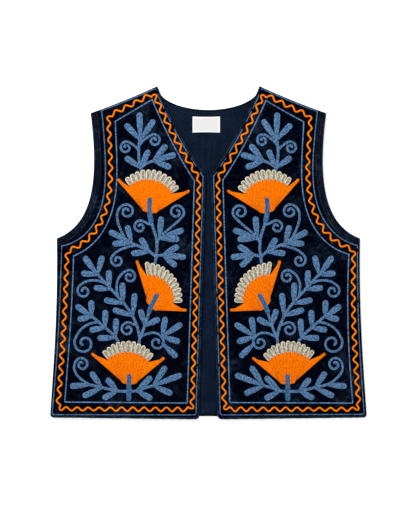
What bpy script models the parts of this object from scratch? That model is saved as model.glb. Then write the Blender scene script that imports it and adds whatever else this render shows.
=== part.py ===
"""Embroidered folk vest, laid flat with its fronts up.

The back panel lies face down on the surface, its lining on top of it, and the two fronts lie on the lining.
X runs across the garment, +Y towards the neck and +Z up from the surface. The origin is on the surface, at
the middle of the garment's width and length. Sizes in the tables are millimetres, as a pattern maker writes
them, and MM turns them into metres. "Across" is the distance from the centre front towards the side.
"""

import math
from collections import namedtuple

import bmesh
import bpy
import numpy as np
from mathutils import Vector
from mathutils.bvhtree import BVHTree
from mathutils.geometry import delaunay_2d_cdt

MM = 0.001

# Driving sizes of the garment: half widths and heights above its middle
NECK_POINT = (84.8, 275.7)
SHOULDER_TIP = (195.0, 231.0)
UNDERARM = (250.8, 23.9)
SIDE_HEM = (262.0, -272.7)
FRONT_HEM = (15.3, -275.7)
V_POINT = (3.7, 127.6)
BACK_HEM_Y = -270.5
BACK_NECK_DROP = 39.1

# Pulls of the curved edges (Bezier handles)
NECKLINE_PULL = (48.0, 190.0)
SHOULDER_PULL = (139.5, 250.4)
ARMHOLE_PULLS = ((180.5, 116.7), (192.1, 46.4))
SIDE_PULLS = ((249.0, -110.0), (257.0, -190.0))
HEM_CORNER = 5.0

# Points along each edge
NECK_STEPS = 8
FRONT_STEPS = 7
HEM_STEPS = 5
SIDE_STEPS = 7
ARMHOLE_STEPS = 14
SHOULDER_STEPS = 4

# Walls, from the surface up
GAP = 0.3
VELVET = 2.2
LINING = 1.0
SEAM_RAMP = 8.0
PILLOW_RISE = 2.0
PILLOW_REACH = 95.0
LINING_FLOOR = VELVET + GAP
SEAM_FLOOR = VELVET + GAP
FRONT_FLOOR = LINING_FLOOR + LINING + GAP
GRID = 50.0

# Edges, bands and label
ROLL = 3.4
NECK_ROLL = 2.2
BAND = 12.5
BAND_RIDGES = 3
BAND_RIDGE_RISE = 0.5
BAND_THICK = 2.5
LINING_SEAM_INSET = 9.0
LINING_SHOULDER_INSET = 15.0
LINING_FREE_INSET = 3.4
FACING_WIDTH = 6.5
FACING_HALF_ANGLES = (43.0, 52.0)
LABEL_SIZE = (45.4, 26.7)
LABEL_CENTRE = (-3.5, 212.0)
LABEL_THICK = 1.0

# Embroidery
LIFT = 0.5
STITCH_RISE = 0.9
CLEAR = 0.4
LEAF_WIDTH = 10.4
LEAF_ROOT_SHARE = 0.5
TENDRIL_WIDTH = 4.3
STEM_WIDTH = 5.0
TAB_WIDTH = 8.6
LINE_WIDTH = 2.3
WAVE_WIDTH = 2.8
WAVE_LENGTH = 18.4
WAVE_SWING = 3.0
WAVE_TURN = 9.0
SPIRAL_STEP = 47.0
SPIRAL_SHRINK = 0.74
SPIRAL_EASE = 1.2
PETALS = 11
SCALLOP = 0.9
HORN_HALF_WIDTH = 2.3
FAN_BASE = ((6.5, -1.0), (12.5, 0.3), (15.5, 4.0))

# Distance of each embroidered line's middle from the garment's edge, by the edge that it follows. Two numbers
# are the distances at the edge's two ends, here at the shoulder's tip and at the neck
Border = namedtuple("Border", "neck front hem side armhole shoulder")
OUTER_LINE = Border(neck=5.1, front=5.1, hem=5.4, side=4.2, armhole=16.8, shoulder=2.4)
WAVE_LINE = Border(neck=11.2, front=11.4, hem=14.9, side=13.9, armhole=26.4, shoulder=(14.8, 9.2))
INNER_LINE = Border(neck=18.5, front=19.8, hem=26.2, side=24.5, armhole=37.0, shoulder=(28.0, 20.0))

# A fan flower stands on its base point. Its heading is in degrees from straight up the garment, positive
# towards the centre front. Its two arcs are centre across the flower, centre up the flower, radius and
# half angle; its horns' tips are across and up the flower, across being positive towards the centre front
Flower = namedtuple("Flower", "name across up heading petal_arc body_arc outer_horn inner_horn")
FLOWERS = (
    Flower("top", 97.1, 67.1, 9.5, (-3.6, 12.6, 57.9, 50), (-4.6, 4.6, 48.3, 48), (-61, 45.6), (59.1, 46.3)),
    Flower("middle", 95.4, -87.8, 46.9, (-14, -1.7, 64, 43), (-9.4, 2.1, 43, 48), (-70.6, 34.6), (46, 38.9)),
    Flower(
        "bottom", 130.9, -216.2, 2.8, (-4.4, 16.1, 54.5, 49), (-3.9, 1.7, 49.8, 43), (-64.6, 47.1), (56, 45.9)
    ),
)

Stem = namedtuple("Stem", "spray width route")
STEMS = (
    Stem("top", STEM_WIDTH, ((111.4, 136.0), (114.2, 150.0), (115.2, 165.0), (114.5, 180.0), (112.3, 188.0))),
    Stem("top", STEM_WIDTH, ((112.3, 139.5), (104.0, 146.5), (91.3, 151.9))),
    Stem("upper", TAB_WIDTH, ((96.6, 87.6), (97.6, 76.0), (96.9, 64.0), (94.6, 52.0))),
    Stem("upper", STEM_WIDTH, ((95.3, 56), (91.6, 42), (86.5, 26), (85, 10), (86, -4), (88.1, -18))),
    Stem("upper", STEM_WIDTH, ((87.0, -6.5), (97.8, 2.5), (109.8, 8.6), (126.7, 15.5))),
    Stem("upper", STEM_WIDTH, ((85.8, 14.0), (82.0, 23.4))),
    Stem("upper", STEM_WIDTH, ((87.0, -6.0), (75.7, -3.5))),
    Stem("middle", TAB_WIDTH, ((85.4, -70.9), (91.7, -82.7), (97.8, -96.8))),
    Stem(
        "middle",
        STEM_WIDTH,
        ((95.8, -92.0), (103.8, -116.8), (108.8, -130.9), (112.8, -139.9), (115.2, -151.0)),
    ),
    Stem("middle", STEM_WIDTH, ((113.3, -141), (118.8, -118.9), (133.9, -90.8), (162, -58.7), (183, -36))),
    Stem("side", STEM_WIDTH, ((147.0, -150.0), (156.0, -136.9), (171.0, -123.5), (192.0, -105.5))),
    Stem("base", TAB_WIDTH, ((130.9, -204.3), (131.4, -225.0), (131.6, -241.5))),
    Stem("base", STEM_WIDTH, ((130.5, -229.0), (149.9, -228.6), (174.0, -223.2), (196.1, -218.2))),
    Stem("base", STEM_WIDTH, ((132.5, -229.0), (117.8, -228.4), (105.8, -223.6), (91.7, -219.8))),
)

# A tuft is leaves that grow from one point: (heading, length to the middle of the leaf's round end)
Tuft = namedtuple("Tuft", "spray across up leaves")
TUFTS = (
    Tuft("top", 112.3, 186.0, ((-43, 32), (-2, 41), (34, 36))),
    Tuft("top", 112.3, 140.2, ((-54, 26), (25, 28))),
    Tuft("top", 91.3, 151.9, ((40, 30), (74, 34), (111, 27))),
    Tuft("upper", 126.7, 16.3, ((-63, 37), (-15, 25), (-93, 27))),
    Tuft("upper", 96.8, 1.5, ((-35, 23), (-95, 26))),
    Tuft("upper", 80.9, 23.4, ((5, 32), (70, 38), (92, 28))),
    Tuft("upper", 75.7, -3.5, ((61, 26), (96, 34), (130, 25))),
    Tuft("middle", 104.4, -120.9, ((-17, 24), (63, 22))),
    Tuft("middle", 76.5, -138.5, ((10, 28), (57, 34), (107, 26))),
    Tuft("middle", 75.7, -150.0, ((134, 28),)),
    Tuft("middle", 124.8, -104.5, ((5, 33), (-72, 30))),
    Tuft("middle", 140.9, -84.0, ((-2, 30), (-79, 27))),
    Tuft("middle", 163.6, -60.7, ((-2, 27), (-83, 21))),
    Tuft("middle", 183.5, -36.5, ((15, 28), (-36, 33), (-84, 22))),
    Tuft("side", 153.5, -140.5, ((2, 27), (-91, 25))),
    Tuft("side", 171.0, -124.3, ((2, 25), (-98, 21))),
    Tuft("side", 192.7, -106.0, ((-2, 23), (-54, 28), (-100, 19))),
    Tuft("base", 149.9, -228.2, ((-42, 23), (-118, 23))),
    Tuft("base", 176.0, -223.0, ((-35, 27), (-115, 30))),
    Tuft("base", 196.1, -218.4, ((-94, 28),)),
    Tuft("base", 118.2, -228.2, ((46, 29), (119, 24))),
    Tuft("base", 91.7, -219.8, ((34, 34), (69, 46), (113, 30))),
)

# A tendril leaves its stem, meets its spiral at the entry heading and winds in; clock is 1 for clockwise,
# as the wearer's right front is seen. Reach is the pull of its lead into the spiral, turns are the spiral's
Tendril = namedtuple("Tendril", "spray start centre radius entry reach turns clock")
TENDRILS = (
    Tendril("top", (114.7, 176.6), (89.5, 185.6), 10.3, 60, 16.0, 1.25, 1),
    Tendril("top", (115.5, 169.0), (136.0, 173.8), 10.2, -60, 14.0, 1.25, -1),
    Tendril("upper", (139.0, 26.0), (135.1, 68.3), 11.8, 60, 24.0, 1.25, 1),
    Tendril("upper", (93.1, 46.3), (112.9, 42.8), 10.6, -60, 10.0, 1.2, -1),
    Tendril("upper", (76.5, 30.0), (52.5, 67.1), 12.3, 20, 7.0, 1.25, -1),
    Tendril("upper", (121.8, 11.5), (150.5, -12.5), 10.6, -150, 17.0, 1.1, -1),
    Tendril("middle", (118.2, -119.9), (133.3, -126.5), 11.6, -60, 8.0, 1.2, -1),
    Tendril("middle", (112.0, -139.5), (85.1, -148.4), 11.5, 150, 22.0, 1.1, 1),
    Tendril("middle", (148.5, -74.5), (130.5, -39.6), 11.0, 60, 26.0, 1.2, 1),
    Tendril("middle", (171.0, -50.0), (205.7, -63.3), 11.3, -135, 23.0, 1.1, -1),
    Tendril("side", (181.0, -114.5), (205.1, -149.4), 16.5, -160, 29.0, 1.15, -1),
    Tendril("base", (198.5, -217.0), (209.1, -184.7), 11.3, 30, 23.0, 1.2, 1),
)

# Soft creases of the lining below the label: where each one lies across, how it leans, its width and rise
Crease = namedtuple("Crease", "across lean width rise")
CREASES = (
    Crease(-13.0, 0.08, 16.0, 1.0),
    Crease(3.0, -0.04, 14.0, 1.3),
    Crease(19.0, -0.14, 15.0, 1.1),
)
CREASE_TOP = 194.0
CREASE_FADE = 18.0
CREASE_GRID = 9.0

COLOURS = {
    "velvet": ((0.004, 0.007, 0.020), 0.85),
    "lining": ((0.010, 0.022, 0.045), 0.55),
    "blue_thread": ((0.105, 0.220, 0.400), 0.70),
    "orange_thread": ((0.950, 0.190, 0.004), 0.65),
    "cream_thread": ((0.560, 0.500, 0.380), 0.75),
    "label_white": ((0.850, 0.840, 0.810), 0.60),
}

SIDES = {"right": -1, "left": 1}
SEAM_EDGES = ("side", "armhole", "shoulder")


def clear_scene():
    for obj in list(bpy.data.objects):
        bpy.data.objects.remove(obj)


def material(name):
    """A Principled material in the piece's colour and roughness."""
    made = bpy.data.materials.get(name) or bpy.data.materials.new(name)
    made.use_nodes = True
    colour, roughness = COLOURS[name]
    shader = made.node_tree.nodes["Principled BSDF"]
    shader.inputs["Base Color"].default_value = (*colour, 1.0)
    shader.inputs["Roughness"].default_value = roughness
    shader.inputs["Metallic"].default_value = 0.0
    return made


def bezier(points, steps):
    """Points along a Bezier curve of two, three or four control points."""
    control = np.array(points, float)
    order = len(control) - 1
    t = np.linspace(0.0, 1.0, steps + 1)[:, None]
    return sum(math.comb(order, k) * t**k * (1 - t) ** (order - k) * control[k] for k in range(order + 1))


def smooth_route(points, step):
    """A Catmull-Rom curve through the route's own points, about one point every step."""
    p = np.array(points, float)
    p = np.vstack([2 * p[0] - p[1], p, 2 * p[-1] - p[-2]])
    found = [p[1][None]]
    for a, b, c, d in zip(p, p[1:], p[2:], p[3:]):
        t = np.linspace(0, 1, max(1, round(np.linalg.norm(c - b) / step)) + 1)[1:, None]
        curve = 2 * b + (c - a) * t + (2 * a - 5 * b + 4 * c - d) * t**2 + (3 * b - a - 3 * c + d) * t**3
        found.append(curve / 2)
    return np.vstack(found)


def ramp_start(corner, other):
    """The point of an edge where the ramp of the seam at its corner begins."""
    return corner + (other - corner) * (SEAM_RAMP + ROLL) / np.linalg.norm(other - corner)


def front_edges(coarse=1):
    """The edges of one front, from the neck point round to the neck point again, as (edge name, points)."""
    neck = bezier((NECK_POINT, NECKLINE_PULL, V_POINT), NECK_STEPS // coarse)
    hem = bezier((FRONT_HEM, SIDE_HEM), HEM_STEPS // coarse)
    return (
        ("neck", np.insert(neck, 1, ramp_start(neck[0], neck[1]), axis=0)),
        ("front", bezier((V_POINT, FRONT_HEM), FRONT_STEPS // coarse)),
        ("hem", np.insert(hem, -1, ramp_start(hem[-1], hem[-2]), axis=0)),
        ("side", bezier((SIDE_HEM, *SIDE_PULLS[::-1], UNDERARM), SIDE_STEPS // coarse)),
        ("armhole", bezier((UNDERARM, *ARMHOLE_PULLS[::-1], SHOULDER_TIP), ARMHOLE_STEPS // coarse)),
        ("shoulder", bezier((SHOULDER_TIP, SHOULDER_PULL, NECK_POINT), SHOULDER_STEPS // coarse)),
    )


def inset_loop(edges, distances):
    """Closed loop inside the edges, each at its own distance, with mitred corners; also each point's edge."""
    points = np.vstack([p[:-1] for _, p in edges])
    names = [name for name, p in edges for _ in p[:-1]]
    spreads = [(len(p) - 1, np.broadcast_to(getattr(distances, name), 2)) for name, p in edges]
    move = np.concatenate([a + (b - a) * (np.arange(count) + 0.5) / count for count, (a, b) in spreads])
    ahead = np.roll(points, -1, axis=0) - points
    ahead /= np.linalg.norm(ahead, axis=1, keepdims=True)
    inward = np.stack([-ahead[:, 1], ahead[:, 0]], axis=1)
    before = np.roll(inward, 1, axis=0)
    move_before = np.roll(move, 1)
    found = []
    for point, a, b, da, db in zip(points, before, inward, move_before, move):
        if abs(a @ b) > 0.985:
            found.append(point + (a + b) / np.linalg.norm(a + b) * (da + db) / 2)
        else:
            found.append(point + np.linalg.solve(np.array([a, b]), np.array([da, db])))
    return np.array(found), names


def turned_corner(line, corner, size):
    """The line with one of its corners rounded off."""
    back = line[corner - 1] - line[corner]
    ahead = line[corner + 1] - line[corner]
    before = line[corner] + back * size / np.linalg.norm(back)
    after = line[corner] + ahead * size / np.linalg.norm(ahead)
    return np.vstack([line[:corner], bezier((before, line[corner], after), 3), line[corner + 1 :]])


def distance_to(points, line):
    """Distance from each point to a polyline."""
    a = line[:-1][None]
    ab = line[1:][None] - a
    t = np.clip(((points[:, None] - a) * ab).sum(2) / np.maximum((ab**2).sum(2), 1e-12), 0, 1)
    return np.linalg.norm(points[:, None] - (a + t[..., None] * ab), axis=2).min(1)


def inside(points, loop):
    """True for each point inside the closed loop, by counting crossings."""
    x, y = points[:, :1], points[:, 1:]
    a = loop[None]
    b = np.roll(loop, -1, axis=0)[None]
    spans = (a[..., 1] > y) != (b[..., 1] > y)
    rise = np.where(b[..., 1] == a[..., 1], 1e-12, b[..., 1] - a[..., 1])
    crossing = (b[..., 0] - a[..., 0]) * (y - a[..., 1]) / rise + a[..., 0]
    return (spans & (x < crossing)).sum(1) % 2 == 1


def turning(loop):
    """Twice the loop's area, positive where it runs counterclockwise."""
    x, y = loop[:, 0], loop[:, 1]
    return (x * np.roll(y, -1) - np.roll(x, -1) * y).sum()


def counterclockwise(loop):
    return loop if turning(loop) > 0 else loop[::-1]


def grid_inside(loop, spacing, margin):
    """Points of a square grid that lie inside a loop and clear of it."""
    low = loop.min(0)
    high = loop.max(0)
    grid = np.stack(np.meshgrid(np.arange(low[0], high[0], spacing), np.arange(low[1], high[1], spacing)), 2)
    grid = grid.reshape(-1, 2) + spacing / 2
    grid = grid[inside(grid, loop)]
    return grid[distance_to(grid, np.vstack([loop, loop[:1]])) > margin]


def plan_of(shapes, cutters=(), extra=()):
    """Triangles over the union of the shapes, less the cutters: (points, triangles), in millimetres."""
    loops = [counterclockwise(np.array(s, float)) for s in (*shapes, *cutters)]
    starts = np.cumsum([0] + [len(s) for s in loops])
    faces = [list(range(a, b)) for a, b in zip(starts, starts[1:])]
    every = np.vstack([*loops, np.array(extra, float).reshape(-1, 2)])
    made = delaunay_2d_cdt([Vector(p) for p in every], [], faces, 1, 1e-3)
    keep = [
        face
        for face, origin in zip(made[2], made[5])
        if any(o < len(shapes) for o in origin) and not any(o >= len(shapes) for o in origin)
    ]
    used = sorted({v for face in keep for v in face})
    place = {v: k for k, v in enumerate(used)}
    points = np.array([made[0][v][:] for v in used], float)
    return points, np.array([[place[v] for v in face] for face in keep])


def add_mesh(name, vertices, faces, finish):
    """An object of the vest, its vertices given in millimetres."""
    mesh = bpy.data.meshes.new(name)
    mesh.from_pydata([tuple(c * MM for c in v) for v in vertices], [], faces)
    mesh.materials.append(material(finish))
    obj = bpy.data.objects.new(name, mesh)
    VEST.objects.link(obj)
    return obj


def wall(name, plan, floor, ceiling, finish):
    """A closed wall over a plan: its underside at the floor heights, its top at the ceiling heights."""
    points, triangles = plan
    corners = points[triangles]
    first = corners[:, 1] - corners[:, 0]
    second = corners[:, 2] - corners[:, 0]
    if (first[:, 0] * second[:, 1] - first[:, 1] * second[:, 0]).sum() < 0:
        triangles = triangles[:, ::-1]
    triangles = triangles.tolist()
    count = len(points)
    directed = {(t[k], t[k - 2]) for t in triangles for k in range(3)}
    rim = [(a, b, b + count, a + count) for a, b in sorted(directed) if (b, a) not in directed]
    under = [t[::-1] for t in triangles]
    over = [[v + count for v in t] for t in triangles]
    vertices = [(x, y, z) for heights in (floor, ceiling) for (x, y), z in zip(points, heights)]
    return add_mesh(name, vertices, [*under, *over, *rim], finish)


def tube(name, points, radius, finish):
    """A rolled edge: a round tube along the points."""
    curve = bpy.data.curves.new(name, "CURVE")
    curve.dimensions = "3D"
    curve.bevel_depth = radius * MM
    curve.bevel_resolution = 1
    curve.use_fill_caps = True
    spline = curve.splines.new("POLY")
    spline.points.add(len(points) - 1)
    for slot, (x, y, z) in zip(spline.points, points):
        slot.co = (x * MM, y * MM, z * MM, 1.0)
    curve.materials.append(material(finish))
    VEST.objects.link(bpy.data.objects.new(name, curve))


def loft(name, rings, finish):
    """A closed body through rings of the same count, with flat ends."""
    count = len(rings)
    size = len(rings[0])
    vertices = [tuple(p) for ring in rings for p in ring]
    faces = [
        (i * size + j, i * size + (j + 1) % size, (i + 1) * size + (j + 1) % size, (i + 1) * size + j)
        for i in range(count - 1)
        for j in range(size)
    ]
    faces += [tuple(range(size))[::-1], tuple(range((count - 1) * size, count * size))]
    obj = add_mesh(name, vertices, faces, finish)
    shape = bmesh.new()
    shape.from_mesh(obj.data)
    if shape.calc_volume(signed=True) < 0:
        bmesh.ops.reverse_faces(shape, faces=list(shape.faces))
    shape.to_mesh(obj.data)
    shape.free()


def mirrored(points, side):
    """Points of the pattern, which is drawn for one side, placed on that side of the garment."""
    return np.array(points, float) * np.array([side, 1.0])


def front_floor(points):
    """Height of a front's underside: low at the seams, up on the lining, and softly pillowed inside."""
    loop, names = inset_loop(EDGES, Border(0, 0, 0, 0, BAND + GAP, 0))
    closed = np.vstack([loop, loop[:1]])
    low = [k for k, name in enumerate(names) if name in SEAM_EDGES]
    ramp = np.clip(distance_to(points, closed[min(low) : max(low) + 2]) / SEAM_RAMP, 0, 1)
    swell = np.clip(distance_to(points, closed) / PILLOW_REACH, 0, 1)
    swell = swell * swell * (3 - 2 * swell)
    return SEAM_FLOOR + (FRONT_FLOOR - SEAM_FLOOR) * ramp + PILLOW_RISE * swell


def build_front(name, side):
    """A velvet front, between its rolled edge, its armhole band and its seams. Returns its top as a tree."""
    free = ROLL + GAP
    loop, names = inset_loop(EDGES, Border(free, free, free, 0, BAND + GAP, 0))
    loop = turned_corner(loop, names.index("hem"), HEM_CORNER)
    reach = SEAM_RAMP
    ring, _ = inset_loop(EDGES, Border(free + reach, free + reach, free + reach, reach, BAND + reach, reach))
    plan = plan_of([loop, ring], extra=grid_inside(ring, GRID, GRID / 3))
    floor = front_floor(plan[0])
    placed = mirrored(plan[0], side)
    wall(f"front_{name}", (placed, plan[1]), floor, floor + VELVET, "velvet")
    top = [Vector((x, y, z + VELVET)) for (x, y), z in zip(placed, floor)]
    return BVHTree.FromPolygons(top, plan[1].tolist())


def build_edge_roll(name, side):
    """The rolled velvet edge along the neck, the centre front and the hem, round its corner."""
    half = ROLL / 2
    line, names = inset_loop(EDGES, Border(half, half, half, 0, 0, 0))
    line = line[: names.index("side") + 1]
    line[-1, 0] -= 0.6
    line[0] += (line[1] - line[0]) / np.linalg.norm(line[1] - line[0]) * half
    line = turned_corner(line, names.index("hem"), HEM_CORNER)
    placed = mirrored(line, side)
    tube(f"edge_roll_{name}", np.column_stack([placed, front_floor(line) + half]), half, "velvet")


def build_armhole_band(name, side, on_front):
    """Half an armhole band. The front half has its stitched rows raised on its top, the back one is plain."""
    outer = dict(EDGES)["armhole"]
    inner, names = inset_loop(EDGES, Border(0, 0, 0, 0, BAND, 0))
    first = names.index("armhole")
    inner = inner[first : first + len(outer)]
    share = np.linspace(0.0, 1.0, 2 * BAND_RIDGES + 1) if on_front else np.array([0.0, 1.0])
    floor = SEAM_FLOOR if on_front else 0.0
    top = floor + (BAND_THICK - BAND_RIDGE_RISE if on_front else VELVET)
    ridge = BAND_RIDGE_RISE * np.abs(np.sin(share * math.pi * BAND_RIDGES)) * on_front
    rings = []
    for a, b in zip(mirrored(outer, side), mirrored(inner, side)):
        across = a + (b - a) * share[:, None]
        rings.append([(*a, floor), *[(x, y, top + z) for (x, y), z in zip(across, ridge)], (*b, floor)])
    loft(f"armhole_band_{'front' if on_front else 'back'}_{name}", rings, "velvet")


def neck_curve(inset, half_angle, steps):
    """The back neckline, an ellipse between the neck points, drawn inset towards the hem."""
    angle = np.radians(np.linspace(-half_angle, half_angle, steps + 1))
    wide = NECK_POINT[0] + inset
    deep = BACK_NECK_DROP + inset
    return np.column_stack([wide * np.sin(angle), NECK_POINT[1] - deep * np.cos(angle)])


def back_loop(distances):
    """A closed loop inside the whole back: its left half, from hem to neck at the middle, then mirrored."""
    side_hem = (SIDE_HEM[0], BACK_HEM_Y)
    neck = neck_curve(0.0, 90.0, 4 * NECK_STEPS)[2 * NECK_STEPS :][::-1]
    half = (
        ("hem", bezier(((0.0, BACK_HEM_Y), side_hem), HEM_STEPS)),
        ("side", bezier((side_hem, *SIDE_PULLS[::-1], UNDERARM), SIDE_STEPS)),
        ("armhole", dict(EDGES)["armhole"]),
        ("shoulder", dict(EDGES)["shoulder"]),
        ("neck", neck),
        ("front", np.array([neck[-1], (0.0, BACK_HEM_Y)])),
    )
    loop, names = inset_loop(half, distances)
    loop = loop[: names.index("front") + 1]
    loop[0, 0] = 0.0
    loop[-1, 0] = 0.0
    return np.vstack([loop, loop[1:-1][::-1] * (-1, 1)])


def crease_rise(points):
    """Height of the lining's creases: a rounded ridge along each, faded at its ends and before the fronts."""
    x, y = points[:, 0], points[:, 1]
    half_v = (y - V_POINT[1]) * (NECK_POINT[0] - V_POINT[0]) / (NECK_POINT[1] - V_POINT[1])
    fade = np.clip((half_v - np.abs(x) - 1.0) / 8.0, 0, 1) * np.clip((CREASE_TOP - y) / CREASE_FADE, 0, 1)
    total = np.zeros(len(points))
    for crease in CREASES:
        off = np.abs(x - crease.across - crease.lean * (CREASE_TOP - y)) / (crease.width / 2)
        total = np.maximum(total, crease.rise * np.cos(np.clip(off, 0, 1) * math.pi / 2) ** 2)
    return total * fade


def build_back():
    """The back velvet, flat on the surface, its lining with soft creases, and the neck's roll and facing."""
    outline = back_loop(Border(neck=NECK_ROLL + GAP, front=0, hem=0, side=0, armhole=BAND + GAP, shoulder=0))
    plan = plan_of([outline])
    flat = np.zeros(len(plan[0]))
    wall("back_velvet", plan, flat, flat + VELVET, "velvet")

    seam = LINING_SEAM_INSET
    free = LINING_FREE_INSET
    high = LINING_SHOULDER_INSET
    lined = back_loop(Border(neck=free, front=0, hem=free, side=seam, armhole=BAND + seam, shoulder=high))
    folded = np.column_stack([np.abs(lined[:, 0]), lined[:, 1]])
    lined = lined[distance_to(folded, dict(EDGES)["shoulder"]) > high - 0.1]
    zone = np.array([(-14, 134), (14, 134), (44, CREASE_TOP), (-44, CREASE_TOP)], float)
    plan = plan_of([lined], extra=grid_inside(zone, CREASE_GRID, 0.5))
    flat = np.full(len(plan[0]), LINING_FLOOR)
    wall("back_lining", plan, flat, flat + LINING + crease_rise(plan[0]), "lining")

    line = neck_curve(NECK_ROLL / 2, 86.0, 12)
    tube("back_neck_roll", [(x, y, NECK_ROLL / 2) for x, y in line], NECK_ROLL / 2, "velvet")
    low = neck_curve(free + GAP + FACING_WIDTH, FACING_HALF_ANGLES[0], 12)
    high = neck_curve(free + GAP, FACING_HALF_ANGLES[1], 12)
    floor = LINING_FLOOR + LINING + GAP
    top = floor + LINING
    rings = [[(*a, floor), (*a, top), (*b, top), (*b, floor)] for a, b in zip(low, high)]
    loft("back_neck_facing", rings, "lining")


def build_label():
    """The woven label, bare, on the lining below the neck facing."""
    half = np.array(LABEL_SIZE) / 2
    corners = LABEL_CENTRE + half * ((-1, -1), (1, -1), (1, 1), (-1, 1))
    flat = np.full(4, LINING_FLOOR + LINING + GAP)
    wall("label", (corners, np.array([(0, 1, 2), (0, 2, 3)])), flat, flat + LABEL_THICK, "label_white")


def along(heading):
    """Direction of a heading, which is in degrees from up the garment, positive towards the centre front."""
    angle = math.radians(heading)
    return np.array([-math.sin(angle), math.cos(angle)])


def grown(loop, by):
    """A convex loop moved out on every side."""
    loop = counterclockwise(np.array(loop, float))
    ahead = np.roll(loop, -1, axis=0) - loop
    ahead /= np.linalg.norm(ahead, axis=1, keepdims=True)
    outward = np.stack([ahead[:, 1], -ahead[:, 0]], axis=1)
    both = outward + np.roll(outward, 1, axis=0)
    return loop + both * by * 2 / np.maximum((both**2).sum(1, keepdims=True), 0.5)


def ribbon(line, width):
    """A ribbon's outline along a line, with blunted ends."""
    line = np.array(line, float)
    ahead = np.gradient(line, axis=0)
    ahead /= np.linalg.norm(ahead, axis=1, keepdims=True)
    left = np.stack([-ahead[:, 1], ahead[:, 0]], axis=1) * width / 2
    near = line[0] - ahead[0] * width * 0.36
    far = line[-1] + ahead[-1] * width * 0.36
    caps = [far + left[-1] * 0.55, far - left[-1] * 0.55], [near - left[0] * 0.55, near + left[0] * 0.55]
    return np.vstack([line + left, caps[0], (line - left)[::-1], caps[1]])


def leaf(across, up, heading, length):
    """A leaf's outline: a paddle with a round end, narrowing towards its root."""
    half = LEAF_WIDTH / 2
    ahead = along(heading)
    right = np.array([ahead[1], -ahead[0]])
    outline = [(-half * LEAF_ROOT_SHARE, 0.0), (-half, length), (-half * 0.5, length + half * 0.9)]
    outline += [(half * 0.5, length + half * 0.9), (half, length), (half * LEAF_ROOT_SHARE, 0.0)]
    return [(across, up) + right * u + ahead * v for u, v in outline]


def tendril(t):
    """A tendril's outline: a curved lead into a spiral that winds in."""
    winding = np.arange(0.0, t.turns * 360.0 + 1.0, SPIRAL_STEP)
    share = winding / winding[-1]
    radius = t.radius * (1 - SPIRAL_SHRINK * share**SPIRAL_EASE)
    heading = np.radians(t.entry + t.clock * winding)
    spiral = t.centre + t.clock * radius[:, None] * np.stack([np.cos(heading), np.sin(heading)], axis=1)
    lead = bezier((t.start, spiral[0] - along(t.entry) * t.reach, spiral[0]), 3)
    return ribbon(np.vstack([lead[:-1], spiral]), TENDRIL_WIDTH)


def spray_shapes(name):
    """The outlines of one spray: its stems, leaves and tendrils, which overlap where they join."""
    shapes = [ribbon(smooth_route(s.route, 40.0), s.width) for s in STEMS if s.spray == name]
    shapes += [leaf(t.across, t.up, *one) for t in TUFTS if t.spray == name for one in t.leaves]
    return shapes + [tendril(t) for t in TENDRILS if t.spray == name]


def flower_place(flower, points):
    """Points given across and up a flower, placed on the front."""
    ahead = along(flower.heading)
    right = np.array([-ahead[1], ahead[0]])
    return [(flower.across, flower.up) + right * u + ahead * v for u, v in points]


def arc(centre_across, centre_up, radius, half_angle, count):
    """Points along an arc that bulges up the flower, from its outer end to its inner end."""
    angle = np.radians(np.linspace(-half_angle, half_angle, count))
    return np.column_stack([centre_across + radius * np.sin(angle), centre_up + radius * np.cos(angle)])


def fan_body(flower):
    """The orange fan: a rounded base, two horns and a scalloped top."""
    across, up, radius, half_angle = flower.body_arc
    top = arc(across, up, radius - SCALLOP, half_angle, 2 * PETALS + 1)
    top[1::2] = arc(across, up, radius + SCALLOP, half_angle, 2 * PETALS + 1)[1::2]
    outline = [(-u, v) for u, v in FAN_BASE]
    for tip, base, side in ((flower.outer_horn, FAN_BASE[-1], -1), (flower.inner_horn, FAN_BASE[-1], 1)):
        tip = np.array(tip)
        ahead = tip - (side * base[0], base[1])
        ahead /= np.linalg.norm(ahead)
        out = np.array([ahead[1], -ahead[0]]) * side * HORN_HALF_WIDTH
        horn = [tip - ahead * 2 * HORN_HALF_WIDTH + out, tip + out * 0.4]
        horn += [tip - out * 0.5, tip - ahead * 4 - out]
        outline += [*horn, *top] if side < 0 else horn[::-1]
    outline += [(u, v) for u, v in FAN_BASE[::-1]]
    return flower_place(flower, outline)


def petals(flower):
    """The cream petals: a ring of rounded strips, each from the fan's top to the petals' own arc."""
    near = arc(*flower.body_arc[:2], flower.body_arc[2] + SCALLOP + 0.6, flower.body_arc[3], 2 * PETALS + 1)
    far = arc(*flower.petal_arc[:3], flower.petal_arc[3] + 4.0, 2 * PETALS + 1)
    shapes = []
    for k in range(PETALS):
        a0, am, a1 = near[2 * k : 2 * k + 3]
        b0, bm, b1 = far[2 * k : 2 * k + 3]
        side = (b1 - b0) * 0.5
        swell = (a1 - a0) * 0.54
        shoulder = am + (bm - am) * 0.78
        tip = [bm + side * 0.45, bm - side * 0.45]
        outline = [am - swell, am + swell, shoulder + side * 0.97, *tip, shoulder - side * 0.97]
        shapes.append(flower_place(flower, outline))
    return shapes


def petal_zone(flower):
    """The ground that a flower's petals take up, with room round it."""
    across, up, radius, half_angle = flower.petal_arc
    far = arc(across, up, radius + CLEAR, half_angle + 6.0, 13)
    near = arc(*flower.body_arc, 7)
    return flower_place(flower, np.vstack([far, near[::-1]]))


def line_loops(border, width):
    """The outer and inner loops of an embroidered line that follows the garment's edges."""
    edges = front_edges(coarse=2)
    outer, names = inset_loop(edges, Border(*[np.array(d) - width / 2 for d in border]))
    inner, _ = inset_loop(edges, Border(*[np.array(d) + width / 2 for d in border]))
    corner = names.index("hem")
    return turned_corner(outer, corner, HEM_CORNER), turned_corner(inner, corner, HEM_CORNER - width)


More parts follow.
